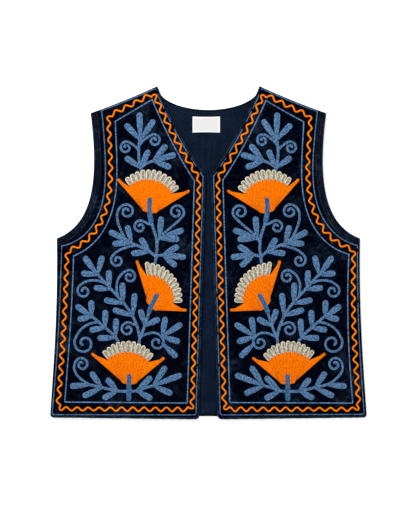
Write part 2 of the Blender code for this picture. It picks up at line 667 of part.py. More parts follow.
def wave_loops():
    """The loops of the wave line: its middle swings to and fro across a rounded path inside the edges."""
    path, _ = inset_loop(EDGES, WAVE_LINE)
    path = np.vstack([path, path[:1]])
    run = np.concatenate([[0], np.cumsum(np.linalg.norm(np.diff(path, axis=0), axis=1))])
    waves = round(run[-1] / WAVE_LENGTH)

    def at(s):
        s = np.mod(s, run[-1])
        return np.column_stack([np.interp(s, run, path[:, 0]), np.interp(s, run, path[:, 1])])

    s = (np.arange(2 * waves) + 0.5) * run[-1] / (2 * waves)
    middle = sum(at(s + off) for off in np.linspace(-WAVE_TURN, WAVE_TURN, 7)) / 7
    ahead = at(s + WAVE_TURN) - at(s - WAVE_TURN)
    ahead /= np.linalg.norm(ahead, axis=1, keepdims=True)
    inward = np.stack([-ahead[:, 1], ahead[:, 0]], axis=1)
    swing = np.where(np.arange(2 * waves) % 2, WAVE_SWING, -WAVE_SWING)[:, None]
    half = WAVE_WIDTH / 2 * 1.22
    return middle + inward * (swing - half), middle + inward * (swing + half)


def embroider(name, plan, side, front, finish):
    """A chain-stitched piece, raised on a front, whose top is given as a tree."""
    placed = mirrored(plan[0], side)
    down = Vector((0, 0, -1))
    floor = np.array([front.ray_cast(Vector((x, y, 100.0)), down)[0].z for x, y in placed]) + LIFT
    wall(name, (placed, plan[1]), floor, floor + STITCH_RISE, finish)


def embroider_front(name, side, front):
    """Everything stitched on one front: its three lines, three fan flowers and five leaf sprays."""
    for line, border in (("outer", OUTER_LINE), ("inner", INNER_LINE)):
        outer, inner = line_loops(border, LINE_WIDTH)
        embroider(f"{line}_line_{name}", plan_of([outer], [inner]), side, front, "blue_thread")
    outer, inner = wave_loops()
    embroider(f"wave_line_{name}", plan_of([outer], [inner]), side, front, "orange_thread")
    tabs = [grown(ribbon(s.route, s.width), CLEAR) for s in STEMS if s.width == TAB_WIDTH]
    for flower in FLOWERS:
        plan = plan_of([fan_body(flower)], tabs)
        embroider(f"fan_{flower.name}_{name}", plan, side, front, "orange_thread")
        embroider(f"petals_{flower.name}_{name}", plan_of(petals(flower)), side, front, "cream_thread")
    for spray in dict.fromkeys(s.spray for s in STEMS):
        plan = plan_of(spray_shapes(spray), [petal_zone(flower) for flower in FLOWERS])
        embroider(f"leaves_{spray}_{name}", plan, side, front, "blue_thread")


EDGES = front_edges()
clear_scene()
VEST = bpy.data.collections.new("embroidered_vest")
bpy.context.scene.collection.children.link(VEST)
build_back()
build_label()
for side_name, side_sign in SIDES.items():
    surface = build_front(side_name, side_sign)
    build_edge_roll(side_name, side_sign)
    build_armhole_band(side_name, side_sign, True)
    build_armhole_band(side_name, side_sign, False)
    embroider_front(side_name, side_sign, surface)
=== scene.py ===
"""Looks of an embroidered folk vest laid flat with its fronts up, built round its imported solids.

The file follows the vest as it is put together: the back, its lining and label, the two fronts with their
rolled edges and armhole bands, then the embroidery. The pattern is drawn for one half of the garment, in
millimetres: "across" is the distance from the centre front towards the side, "up" is from the middle
towards the neck. SIDES places it on the wearer's right (-X) and left (+X), and MM turns it into metres.
"""

import math
from collections import namedtuple

import bmesh
import bpy
import numpy as np
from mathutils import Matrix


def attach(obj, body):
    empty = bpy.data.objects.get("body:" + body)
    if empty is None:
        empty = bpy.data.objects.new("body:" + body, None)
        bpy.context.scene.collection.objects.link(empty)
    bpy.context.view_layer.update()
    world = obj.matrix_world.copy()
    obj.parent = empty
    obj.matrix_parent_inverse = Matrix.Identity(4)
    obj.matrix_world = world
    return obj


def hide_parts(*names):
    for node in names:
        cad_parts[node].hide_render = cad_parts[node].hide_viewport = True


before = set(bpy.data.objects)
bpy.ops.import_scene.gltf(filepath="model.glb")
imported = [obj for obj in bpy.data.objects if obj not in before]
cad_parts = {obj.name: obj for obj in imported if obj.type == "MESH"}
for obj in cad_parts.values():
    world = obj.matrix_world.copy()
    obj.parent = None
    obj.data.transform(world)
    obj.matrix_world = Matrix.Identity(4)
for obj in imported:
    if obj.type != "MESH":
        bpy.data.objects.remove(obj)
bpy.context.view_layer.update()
MM = 0.001

# The back: one piece of short-pile velvet laid face down, so that its pile is its underside. It is turned
# in at the shoulders, sides and armholes, and its neck is bound with a thin rolled strip of the same velvet.

NECK_POINT = (84.8, 275.7)
SHOULDER_TIP = (195.0, 231.0)
UNDERARM = (250.8, 23.9)
SIDE_HEM = (262.0, -272.7)
FRONT_HEM = (15.3, -275.7)
V_POINT = (3.7, 127.6)
BACK_HEM_Y = -270.5
BACK_NECK_DROP = 39.1
NECKLINE_PULL = (48.0, 190.0)
SHOULDER_PULL = (139.5, 250.4)
ARMHOLE_PULLS = ((180.5, 116.7), (192.1, 46.4))
SIDE_PULLS = ((249.0, -110.0), (257.0, -190.0))
SIDES = {"right": -1, "left": 1}
GAP = 0.3
VELVET = 2.2
BAND = 12.5
NECK_ROLL = 2.2
NECK_ROLL_HALF_ANGLE = 86.0
CORNER_TURN = 0.3
CORNER_REACH = 60.0
HEM_TURN = 4.0
TUCK = 0.4
EDGE_STEPS = (0.15, 0.45, 0.9, 1.6)
BACK_STEP = 4.8
BACK_ROUND = 1.0
BACK_FLAT_MARGIN = 8.0
BACK_CREASE_FADE = 25.0
BACK_CREASE_TOP = 1.1
CLOTH_CREASE = 50
TUBE_SIDES = 14

Border = namedtuple("Border", "neck front hem side armhole shoulder")
Patch = namedtuple("Patch", "points quads uv")
Crease = namedtuple("Crease", "across up heading length width rise")
BACK_CREASES = (
    Crease(-120, 60, 14, 150, 26, 0.9),
    Crease(96, 96, -22, 120, 20, 0.7),
    Crease(-40, -60, 4, 210, 30, 0.8),
    Crease(168, -110, -9, 170, 24, 1.0),
    Crease(-196, -150, 8, 130, 18, 0.7),
    Crease(40, -190, 78, 150, 22, 0.6),
)


def mixed(control, t):
    """Control values or points, each weighted by its Bernstein polynomial of t, and summed."""
    order = len(control) - 1
    return sum(math.comb(order, k) * t**k * (1 - t) ** (order - k) * control[k] for k in range(order + 1))


def bezier(points, steps):
    """Points along a Bezier curve, at even steps of its parameter."""
    return mixed(np.array(points, float), np.linspace(0.0, 1.0, steps + 1)[:, None])


def run_of(line):
    """Distance along a line to each of its points."""
    return np.concatenate([[0.0], np.cumsum(np.linalg.norm(np.diff(line, axis=0), axis=1))])


def shares_of(line):
    """How far along a line each of its points lies, from 0 to 1, and its length."""
    run = run_of(line)
    return run / run[-1], run[-1]


def at(line, share):
    """Points of a line at shares of its length."""
    own, _ = shares_of(line)
    return np.stack([np.interp(share, own, line[:, k]) for k in range(line.shape[1])], axis=-1)


def unit(vectors):
    """Vectors of the same directions and of length 1."""
    return vectors / np.linalg.norm(vectors, axis=-1, keepdims=True)


def heading_of(line):
    """Unit direction of a line at each of its points."""
    return unit(np.gradient(line, axis=0))


def eased(share):
    """A share that starts and ends softly: 3 times its square less twice its cube."""
    return share * share * (3 - 2 * share)


def at_height(line, height):
    """A flat line, set at a height."""
    return np.column_stack([line, np.full(len(line), height)])


def left_of(ahead):
    """Unit directions square to others, on their left."""
    return np.stack([-ahead[:, 1], ahead[:, 0]], axis=1)


def moved_in(line, distances):
    """A line moved to its left by a distance, or by several mixed along it, with straight ends beyond."""
    ahead = heading_of(line)
    own, _ = shares_of(line)
    line = line + left_of(ahead) * mixed(np.atleast_1d(distances), own)[:, None]
    return np.vstack([line[0] - ahead[0] * CORNER_REACH, line, line[-1] + ahead[-1] * CORNER_REACH])


def cut_at_crossing(first, second):
    """The first line up to where the second crosses it, and the second one from there on."""
    a, b = first[:-1, None], second[None, :-1]
    r, s = np.diff(first, axis=0)[:, None], np.diff(second, axis=0)[None]
    turn = r[..., 0] * s[..., 1] - r[..., 1] * s[..., 0]
    turn = np.where(np.abs(turn) < 1e-9, 1e-9, turn)
    gap = b - a
    t = (gap[..., 0] * s[..., 1] - gap[..., 1] * s[..., 0]) / turn
    u = (gap[..., 0] * r[..., 1] - gap[..., 1] * r[..., 0]) / turn
    i, j = np.argwhere((t >= 0) & (t <= 1) & (u >= 0) & (u <= 1))[0]
    point = first[i] + t[i, j] * (first[i + 1] - first[i])
    return np.vstack([first[: i + 1], point]), np.vstack([point, second[j + 1 :]])


def inset(edges, distances):
    """Edges inside the given ones: each moved in by its distance, then cut where it meets the next one."""
    lines = [moved_in(line, getattr(distances, name)) for name, line in edges]
    for k in range(len(lines)):
        lines[k - 1], lines[k] = cut_at_crossing(lines[k - 1], lines[k])
    return tuple((name, line) for (name, _), line in zip(edges, lines))


def stretch(edges, start, stop=None):
    """The line along the edges from the start of one to the start of another, or all the way round."""
    names = [name for name, _ in edges]
    first = names.index(start)
    count = (names.index(stop) - first) % len(names) if stop else len(names)
    lines = [edges[(first + k) % len(names)][1] for k in range(count)]
    return np.vstack([lines[0], *(line[1:] for line in lines[1:])])


def rounded(edges, name, size):
    """The edges, with the corner where the named one starts turned by a short Bezier curve between them."""
    found = list(edges)
    k = [n for n, _ in found].index(name)
    before, after = found[k - 1][1], found[k][1]
    start, stop = 1 - size / shares_of(before)[1], size / shares_of(after)[1]
    turn = bezier((at(before, [start])[0], after[0], at(after, [stop])[0]), 8)
    found[k - 1] = (found[k - 1][0], np.vstack([before[shares_of(before)[0] < start], turn[:1]]))
    found[k] = (name, np.vstack([turn[-1:], after[shares_of(after)[0] > stop]]))
    return (*found[:k], ("turn", turn), *found[k:])


def stations(lines, step):
    """Shares for two facing lines: even ones, both lines' corners, and close ones for the turned edges."""
    length = max(shares_of(line)[1] for line in lines)
    found = [np.linspace(0, 1, round(length / step) + 1)]
    for line in lines:
        own, total = shares_of(line)
        ahead = np.diff(line, axis=0)
        heading = np.unwrap(np.arctan2(ahead[:, 1], ahead[:, 0]))
        found.append(own[1:-1][np.abs(np.diff(heading)) > CORNER_TURN])
        near = np.array(EDGE_STEPS) / total
        found += [near, 1 - near]
    return np.unique(np.round(np.concatenate(found), 4))


def sheet_plan(bottom, right, top, left, step):
    """A Coons patch: the blend of bottom to top, plus that of left to right, less that of the corners. Its
    step is one length, or one across and one up."""
    across_step, up_step = np.broadcast_to(step, 2)
    u = stations((bottom, top), across_step)
    v = stations((left, right), up_step)
    across, up = u[None, :, None], v[:, None, None]
    sides = (1 - across) * at(left, v)[:, None] + across * at(right, v)[:, None]
    ends = (1 - up) * at(bottom, u)[None] + up * at(top, u)[None]
    low = (1 - across) * bottom[0] + across * bottom[-1]
    high = (1 - across) * top[0] + across * top[-1]
    return sides + ends - (1 - up) * low - up * high


def distance_to(points, line):
    """Distance from each point to a polyline: the least distance to any of its segments."""
    start = line[:-1]
    step = np.diff(line, axis=0)
    size = np.maximum((step**2).sum(1), 1e-12)
    found = []
    for block in np.array_split(points, len(points) // 3000 + 1):
        off = block[:, None] - start[None]
        t = np.clip((off * step[None]).sum(2) / size, 0, 1)
        off -= t[..., None] * step[None]
        found.append(np.sqrt((off**2).sum(2).min(1)))
    return np.concatenate(found)


def crease_rise(points, creases):
    """Height of soft creases: across each a squared cosine, along it a fade to nothing at both ends."""
    total = np.zeros(len(points))
    for c in creases:
        angle = math.radians(c.heading)
        rel = points - (c.across, c.up)
        along = rel @ (-math.sin(angle), math.cos(angle)) / (c.length / 2)
        bend = 0.35 * c.width * (1 - along**2)
        off = (rel @ (math.cos(angle), math.sin(angle)) + bend) / (c.width / 2)
        hump = np.cos(np.clip(off, -1, 1) * math.pi / 2) ** 2
        total += c.rise * hump * np.clip(1 - np.abs(along), 0, 1) ** 0.7
    return total


def over_plan(measure, plan, *more):
    """A measure of single points, taken at each point of a plan's grid."""
    return measure(plan.reshape(-1, 2), *more).reshape(plan.shape[:2])


def rounding(distance, radius):
    """Drop of a turned edge: a quarter circle that ends where the distance reaches the radius."""
    near = 1 - np.clip(distance / radius, 0, 1)
    return radius * (1 - np.sqrt(1 - near**2))


def uv_pairs(u, v):
    """UVs, one for each point of a grid, from two parts that spread over it."""
    return np.stack(np.broadcast_arrays(u, v), axis=-1).reshape(-1, 2)


def shell(plan, over, under, uv=None):
    """A closed wall over a plan's grid: one sheet at the upper heights, one at the lower, and a rim. Both
    sheets take the two parts of uv, or else the plan itself, as their UVs."""
    rows, columns = plan.shape[:2]
    flat = plan.reshape(-1, 2)
    index = np.arange(rows * columns).reshape(rows, columns)
    cells = [index[:-1, :-1], index[:-1, 1:], index[1:, 1:], index[1:, :-1]]
    top = np.stack(cells, axis=-1).reshape(-1, 4)
    rim = np.concatenate([index[0], index[1:, -1], index[-1, -2::-1], index[-2:0:-1, 0]])
    after = np.roll(rim, -1)
    count = rows * columns
    side = np.stack([rim, rim + count, after + count, after], axis=1)
    heights = [np.broadcast_to(level, (rows, columns)).ravel() for level in (over, under)]
    points = np.vstack([np.column_stack([flat, level]) for level in heights])
    if uv:
        flat = uv_pairs(*uv)
    return Patch(points, np.vstack([top, top[:, ::-1] + count, side]), np.vstack([flat, flat]))


def rings(points, uv):
    """A patch through a grid of rings, each joined to the next one and closed on itself."""
    count, size = points.shape[:2]
    index = np.arange(count * size).reshape(count, size)
    after = np.roll(index, -1, axis=1)
    quads = np.stack([index[:-1], after[:-1], after[1:], index[1:]], axis=-1).reshape(-1, 4)
    return Patch(points.reshape(-1, 3), quads, uv.reshape(-1, 2))


def tube(path, radius):
    """A round tube: a circle carried along the path, shrinking to a point at both ends."""
    ahead = heading_of(path[:, :2])
    path, ahead = [np.vstack([line[:1], line, line[-1:]]) for line in (path, ahead)]
    angle = np.arange(TUBE_SIDES) * 2 * math.pi / TUBE_SIDES
    radius = np.broadcast_to(radius, len(path) - 2)
    size = np.concatenate([[0.0], radius, [0.0]])[:, None]
    x = path[:, 0, None] - ahead[:, 1, None] * np.cos(angle) * size
    y = path[:, 1, None] + ahead[:, 0, None] * np.cos(angle) * size
    z = path[:, 2, None] + np.sin(angle) * size
    turn = np.mod(angle / (2 * math.pi) + 0.25, 1.0)
    return rings(np.stack([x, y, z], axis=-1), uv_pairs(turn[None], run_of(path)[:, None]))


def outward(patch):
    """The patch's faces, turned round if the space that they close comes out negative."""
    corner = (patch.points - patch.points.mean(0))[patch.quads]
    first = np.einsum("ij,ij->i", corner[:, 0], np.cross(corner[:, 1], corner[:, 2]))
    second = np.einsum("ij,ij->i", corner[:, 0], np.cross(corner[:, 2], corner[:, 3]))
    return patch.quads if (first + second).sum() > 0 else patch.quads[:, ::-1]


def in_scene(name, data):
    """A new object in the scene, with its data."""
    made = bpy.data.objects.new(name, data)
    bpy.context.scene.collection.objects.link(made)
    return made


def piece(name, patches, finish, nodes=(), crisp=CLOTH_CREASE):
    """One object from closed patches in millimetres, its doubled points merged and its UVs set. Edges that
    turn by more than the crisp angle, in degrees, stay sharp."""
    points = np.vstack([p.points for p in patches]) * MM
    starts = np.cumsum([0] + [len(p.points) for p in patches])
    quads = np.vstack([outward(p) + start for p, start in zip(patches, starts)])
    uv = np.vstack([p.uv for p in patches])[quads.ravel()]
    mesh = bpy.data.meshes.new(name)
    mesh.vertices.add(len(points))
    mesh.vertices.foreach_set("co", points.astype(np.float32).ravel())
    mesh.loops.add(quads.size)
    mesh.loops.foreach_set("vertex_index", quads.astype(np.int32).ravel())
    mesh.polygons.add(len(quads))
    mesh.polygons.foreach_set("loop_start", (np.arange(len(quads)) * 4).astype(np.int32))
    mesh.uv_layers.new(name="Pattern").data.foreach_set("uv", uv.astype(np.float32).ravel())
    mesh.update(calc_edges=True)
    work = bmesh.new()
    work.from_mesh(mesh)
    bmesh.ops.remove_doubles(work, verts=work.verts, dist=1e-7)
    work.to_mesh(mesh)
    work.free()
    mesh.shade_smooth()
    mesh.set_sharp_from_angle(angle=math.radians(crisp))
    mesh.materials.append(finish)
    made = in_scene(name, mesh)
    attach(made, "root")
    if nodes:
        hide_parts(*nodes)
    return made


class Flow:
    """A changing value in a finish. Python's operators on it add Math nodes."""

    def __init__(self, finish, socket):
        self.finish = finish
        self.socket = socket

    def __add__(self, other):
        return self.finish.math("ADD", self, other)

    def __sub__(self, other):
        return self.finish.math("SUBTRACT", self, other)

    def __rsub__(self, other):
        return self.finish.math("SUBTRACT", other, self)

    def __mul__(self, other):
        return self.finish.math("MULTIPLY", self, other)

    def __abs__(self):
        return self.finish.math("ABSOLUTE", self)

    def ramp(self, low, high, start=0.0, stop=1.0):
        """The value carried smoothly from start at low to stop at high."""
        inputs = {0: self, 1: low, 2: high, 3: start, 4: stop}
        return self.finish.node("ShaderNodeMapRange", {"interpolation_type": "SMOOTHSTEP"}, inputs)

    __radd__ = __add__
    __rmul__ = __mul__


class Finish:
    """A material in the making: its shader, and the nodes that feed what changes over the surface."""

    def __init__(self, name, **constants):
        self.material = bpy.data.materials.new(name)
        self.material.use_nodes = True
        self.tree = self.material.node_tree
        self.shader = self.tree.nodes["Principled BSDF"]
        for socket, value in constants.items():
            self.shader.inputs[socket.replace("_", " ")].default_value = value

    def node(self, kind, settings=None, inputs=None, output=0):
        """A node of a kind, with its settings made first and then its sockets given values or links."""
        made = self.tree.nodes.new(kind)
        for key, value in (settings or {}).items():
            setattr(made, key, value)
        for key, value in (inputs or {}).items():
            self.give(made.inputs[key], value)
        return Flow(self, made.outputs[output])

    def give(self, socket, value):
        if isinstance(value, Flow):
            self.tree.links.new(value.socket, socket)
        else:
            socket.default_value = value

    def math(self, operation, *values):
        return self.node("ShaderNodeMath", {"operation": operation}, dict(enumerate(values)))

    def on_object(self):
        """The place in the vest's frame, in metres."""
        return self.node("ShaderNodeTexCoord", output=3)

    def split(self, place=None):
        """The first two parts of a place, or of the surface's own place in its UV map."""
        made = self.tree.nodes.new("ShaderNodeSeparateXYZ")
        self.give(made.inputs[0], place or self.node("ShaderNodeTexCoord", output=2))
        return Flow(self, made.outputs[0]), Flow(self, made.outputs[1])

    def blend(self, share, first, second):
        """A colour between two others."""
        inputs = {0: share, 6: first, 7: second}
        return self.node("ShaderNodeMix", {"data_type": "RGBA"}, inputs, output=2)

    def noise(self, place, scale, detail, warp=0.0):
        inputs = {"Vector": place, "Scale": scale, "Detail": detail, "Distortion": warp}
        return self.node("ShaderNodeTexNoise", {}, inputs)

    def set(self, colour, roughness, height, strength, depth):
        """Joins what changes over the surface to the shader. A roughness of None is left as it is."""
        bump = self.node("ShaderNodeBump", {}, {"Strength": strength, "Distance": depth, "Height": height})
        self.give(self.shader.inputs["Base Color"], colour)
        self.give(self.shader.inputs["Normal"], bump)
        if roughness is not None:
            self.give(self.shader.inputs["Roughness"], roughness)
        return self.material


def velvet_finish(name, lit_crests=False):
    """Near-black navy pile: fine tufts, and crushed places of flattened pile painted lighter as a painted
    sheen, fewer as U, the distance from the edge, grows. On ribbed strips U grows by 1 a rib, and its sine
    paints a highlight along the crests."""
    made = Finish(
        name,
        Specular_IOR_Level=0.0,
        Sheen_Weight=0.03,
        Sheen_Roughness=0.45,
        Sheen_Tint=(0.30, 0.36, 0.62, 1.0),
    )
    place = made.on_object()
    across, _ = made.split()
    near_edge = across.ramp(8.0, 60.0, 1.08, 0.35)
    crush = made.noise(place, 17.0, 4.0, 0.8).ramp(0.46, 0.72) * near_edge
    streak = made.noise(place, 70.0, 3.0, 1.6).ramp(0.42, 0.74)
    tufts = made.noise(place, 640.0, 2.0)
    # Crushed places of flattened pile, painted lighter as a painted sheen.
    crush_and_sheen = crush * (streak * 0.76 + 0.12) + streak * 0.12
    if lit_crests:
        # Painted highlight along the crest of each rib, and along the top of a roll.
        crest = abs(made.math("SINE", across * math.pi)).ramp(0.55, 1.0)
        crush_and_sheen = crush_and_sheen + crest * (streak * 0.80 + 0.28)
    deep = made.blend(tufts.ramp(0.35, 0.65), (0.0, 0.0, 0.0008, 1), (0.0006, 0.0018, 0.0064, 1))
    # The lighter navy is painted sheen on the crushed pile, and a painted highlight on the crests of ribs and
    # rolls.
    colour = made.blend(crush_and_sheen, deep, (0.0160, 0.0255, 0.0480, 1))
    roughness = 0.94 - crush_and_sheen * 0.14
    return made.set(colour, roughness, tufts + crush * 0.6, 0.6, 0.0006)


VELVET_FINISH = velvet_finish("navy_velvet")
# The rolls and the armhole bands: the same velvet, with a painted highlight along the top of each crest.
CREST_LIT_VELVET = velvet_finish("navy_velvet_painted_crest_highlight", True)


def oval_neck(inset, half_angle, steps):
    """The back neckline: an ellipse between the neck points, moved in towards the hem."""
    angle = np.radians(np.linspace(0.0, half_angle, steps + 1))
    wide = NECK_POINT[0] + inset
    deep = BACK_NECK_DROP + inset
    return np.column_stack([wide * np.sin(angle), NECK_POINT[1] - deep * np.cos(angle)])


SIDE_CURVE = (*SIDE_PULLS[::-1], UNDERARM)
ARMHOLE_EDGE = bezier((UNDERARM, *ARMHOLE_PULLS[::-1], SHOULDER_TIP), 60)
SHOULDER_EDGE = bezier((SHOULDER_TIP, SHOULDER_PULL, NECK_POINT), 20)
BACK_SIDE_HEM = (SIDE_HEM[0], BACK_HEM_Y)
BACK_EDGES = (
    ("hem", bezier(((0.0, BACK_HEM_Y), BACK_SIDE_HEM), 20)),
    ("side", bezier((BACK_SIDE_HEM, *SIDE_CURVE), 40)),
    ("armhole", ARMHOLE_EDGE),
    ("shoulder", SHOULDER_EDGE),
    ("neck", oval_neck(0.0, 90.0, 30)[::-1]),
    ("front", np.array([(0.0, NECK_POINT[1] - BACK_NECK_DROP), (0.0, BACK_HEM_Y)])),
)


def mirrored(half):
    """A line from the middle of the garment to its left, continued on the right by its mirror image."""
    return np.vstack([half[:0:-1] * (-1, 1), half])


def whole_back(distances, step):
    """A plan over the back, inside its edges: a Coons patch over the left half, and its mirror image."""
    edges = rounded(inset(BACK_EDGES, distances), "side", HEM_TURN)
    top = stretch(edges, "shoulder", "front")[::-1]
    left = stretch(edges, "front", "hem")[::-1]
    half = sheet_plan(stretch(edges, "hem", "side"), stretch(edges, "side", "shoulder"), top, left, step)
    half[:, 0, 0] = 0.0
    edge = over_plan(distance_to, half, stretch(edges, "hem", "front"))
    return np.hstack([half[:, :0:-1] * (-1, 1), half]), np.hstack([edge[:, :0:-1], edge])


def area_of(plan):
    """Area of a plan's grid in square metres: half the cross product of each cell's diagonals, summed."""
    first = plan[1:, 1:] - plan[:-1, :-1]
    second = plan[1:, :-1] - plan[:-1, 1:]
    return abs((first[..., 0] * second[..., 1] - first[..., 1] * second[..., 0]).sum()) / 2 * MM**2


back_plan, back_edge = whole_back(Border(NECK_ROLL - TUCK, 0, 0, 0, BAND, 0), BACK_STEP)
back_inner = np.clip((back_edge - BACK_FLAT_MARGIN) / BACK_CREASE_FADE, 0, 1)
back_creases = over_plan(crease_rise, back_plan, BACK_CREASES)
back_under = np.clip(back_creases, 0, BACK_CREASE_TOP) * back_inner + rounding(back_edge, BACK_ROUND)
back_over = VELVET - rounding(back_edge, BACK_ROUND)
back_shell = shell(back_plan, back_over, back_under, (back_edge, 0))
back = piece("velvet_back", [back_shell], VELVET_FINISH, ["back_velvet"])

neck_path = mirrored(oval_neck(NECK_ROLL / 2, NECK_ROLL_HALF_ANGLE, 40))
neck_tube = tube(at_height(neck_path, NECK_ROLL / 2), NECK_ROLL / 2)
neck_roll = piece("rolled_neck", [neck_tube], CREST_LIT_VELVET, ["back_neck_roll"])

# The lining: one piece of smooth plain-woven navy cloth, hemmed by machine. It shows in the neck, where it
# falls in soft upright creases below the label, and in the gap between the fronts.

LINING = 1.0
LINING_FLOOR = VELVET + GAP
LINING_ROUND = 0.45
LINING_STEP = (2.6, 5.2)
LINING_SIDE = 9.0
LINING_SHOULDER = 15.0
LINING_FREE = 3.4
LINING_HEM_STITCH = 9.6
LINING_CREASE_TOP = 3.0
CREASE_TOP = 196.0
LINING_CREASES = (
    Crease(-15.0, 163.0, -3.0, 78.0, 12.0, 2.2),
    Crease(-4.0, 160.0, 5.0, 86.0, 8.0, 2.7),
    Crease(6.0, 166.0, -2.0, 70.0, 7.0, 2.2),
    Crease(17.0, 168.0, 9.0, 66.0, 11.0, 2.4),
    Crease(31.0, 186.0, 24.0, 46.0, 10.0, 1.8),
    Crease(-33.0, 190.0, -20.0, 46.0, 11.0, 1.8),
    Crease(-4.0, 20.0, 1.0, 150.0, 8.0, 0.5),
    Crease(5.0, -120.0, -1.5, 200.0, 9.0, 0.5),
)


def lining_finish(name):
    """Plain weave: fine warp and weft ribs, slightly uneven, over a soft navy that varies a little."""
    made = Finish(name, Specular_IOR_Level=0.03, Sheen_Weight=0.015, Sheen_Roughness=0.4)
    place = made.on_object()
    x, y = made.split(place)
    warp = made.math("SINE", x * 13000.0)
    weft = made.math("SINE", y * 13000.0)
    cloud = made.noise(place, 26.0, 3.0, 0.4)
    slub = made.noise(place, 420.0, 2.0)
    uneven = cloud.ramp(0.3, 0.75) * 0.5 + slub.ramp(0.32, 0.68) * 0.5
    colour = made.blend(uneven, (0.0006, 0.0040, 0.0118, 1), (0.0048, 0.0118, 0.0292, 1))
    return made.set(colour, 0.62 + slub * 0.12, warp * weft * 0.25 + slub * 0.4, 0.4, 0.0002)


def lining_rise(points):
    """Height of the lining's creases, which stop before the fronts that lie on it."""
    half_v = (points[:, 1] - V_POINT[1]) * (NECK_POINT[0] - V_POINT[0]) / (NECK_POINT[1] - V_POINT[1])
    room = np.clip((np.maximum(half_v, 7.0) - np.abs(points[:, 0]) - 1.0) / 6.0, 0, 1)
    below_label = np.clip((CREASE_TOP - points[:, 1]) / 10.0, 0, 1)
    return np.clip(crease_rise(points, LINING_CREASES), 0, LINING_CREASE_TOP) * room * below_label


LINING_FINISH = lining_finish("navy_lining")
lining_border = Border(LINING_FREE, 0, LINING_FREE, LINING_SIDE, BAND + LINING_SIDE, LINING_SHOULDER)
lining_plan, lining_edge = whole_back(lining_border, LINING_STEP)
lining_top = LINING_FLOOR + LINING + over_plan(lining_rise, lining_plan)
lining_shell = shell(lining_plan, lining_top - rounding(lining_edge, LINING_ROUND), LINING_FLOOR)
lining = piece("smooth_lining", [lining_shell], LINING_FINISH, ["back_lining"])

FACING_WIDTH = 6.5
FACING_THICK = 0.9
FACING_ROUND = 0.7
FACING_SEAM_SHARE = 0.14
FACING_SEAM_RISE = 0.92
FACING_HALF_ANGLES = (43.0, 52.0)
FACING_FLOOR = LINING_FLOOR + LINING + 0.05
STITCH = 2.4
STITCH_GAP = 0.9
STITCH_RADIUS = 0.22
HEM_SEAM_HALF = 26.0
HEM_SEAM_LIFT = 0.05


def band_plan(low, high, columns):
    """A plan between two facing lines, with the same count of points, in straight columns across."""
    share = columns[None, :, None]
    return low[:, None] * (1 - share) + high[:, None] * share


facing_low, facing_high = [
    mirrored(oval_neck(LINING_FREE + GAP + distance, half_angle, 50))
    for distance, half_angle in zip((FACING_WIDTH, 0.0), FACING_HALF_ANGLES)
]
facing_columns = np.linspace(0, 1, 14)
facing_plan = band_plan(facing_low, facing_high, facing_columns)
facing_edge = np.minimum(facing_columns, 1 - facing_columns)[None] * FACING_WIDTH
facing_top = FACING_FLOOR + FACING_THICK - rounding(facing_edge, FACING_ROUND)
facing_shell = shell(facing_plan, facing_top, FACING_FLOOR)
facing = piece("neck_facing", [facing_shell], LINING_FINISH, ["back_neck_facing"])


def thread_finish(name, colour):
    """Smooth sewing thread with a fine twist."""
    made = Finish(name, Roughness=0.6, Specular_IOR_Level=0.3)
    twist = made.noise(made.on_object(), 1800.0, 1.0)
    dark = tuple(c * 0.6 for c in colour)
    return made.set(made.blend(twist, (*dark, 1), (*colour, 1)), None, twist, 0.4, 0.0001)


def stitches(path, length=STITCH, gap=STITCH_GAP, radius=STITCH_RADIUS):
    """A row of sewn stitches: a short spindle, drawn once, set along the path at even steps."""
    _, total = shares_of(path)
    count = max(1, round(total / (length + gap)))
    middle = at(path, (np.arange(count) + 0.5) / count)
    ahead = unit(at(path, np.clip((np.arange(count) + 0.6) / count, 0, 1)) - middle)
    left = unit(at_height(left_of(ahead), 0.0))
    rise = np.cross(ahead, left)
    angle = np.arange(6) * math.pi / 3
    along = np.array([-0.5, -0.38, 0.0, 0.38, 0.5]) * length
    size = np.array([0.0, 0.75, 1.0, 0.75, 0.0]) * radius
    ring = size[:, None] * np.cos(angle), size[:, None] * np.sin(angle)
    patches = []
    for m, a, n, up in zip(middle, ahead, left, rise):
        spot = m + along[:, None, None] * a + ring[0][..., None] * n + ring[1][..., None] * up
        patches.append(rings(spot, np.zeros((*spot.shape[:2], 2))))
    return patches


NAVY_THREAD = thread_finish("navy_sewing_thread", (0.020, 0.030, 0.062))
facing_seam = band_plan(facing_low, facing_high, np.array([FACING_SEAM_SHARE]))[:, 0]
facing_seam = at(facing_seam, np.linspace(0.01, 0.99, 120))
facing_seam = at_height(facing_seam, FACING_FLOOR + FACING_SEAM_RISE)
hem_ends = [(x, BACK_HEM_Y + LINING_HEM_STITCH) for x in (-HEM_SEAM_HALF, HEM_SEAM_HALF)]
hem_seam = at_height(np.array(hem_ends), LINING_FLOOR + LINING + HEM_SEAM_LIFT)
lining_seams = stitches(facing_seam) + stitches(hem_seam)
lining_stitches = piece("lining_stitches", lining_seams, NAVY_THREAD)

# The neck label: a piece of white woven tape, its ends folded under and sewn down. It is bare here.

LABEL_SIZE = (45.4, 26.7)
LABEL_CENTRE = (-3.5, 212.0)
LABEL_FLOOR = LINING_FLOOR + LINING + 0.1
LABEL_THICK = 0.75
LABEL_ROUND = 0.35
LABEL_PULL = 0.045
LABEL_WAVE = 0.16
LABEL_WAVE_RUN = 5.5
LABEL_MARGIN = 2.6
LABEL_SEAM_INSET = 1.1
LABEL_SEAM_END = 1.2
LABEL_SEAM_LIFT = 0.01
LABEL_STITCH = (1.7, 0.7, 0.16)
LABEL_RIM_U = (-0.995, -0.98, -0.96, 0.96, 0.98, 0.995)
LABEL_RIM_V = (-0.99, -0.97, 0.97, 0.99)


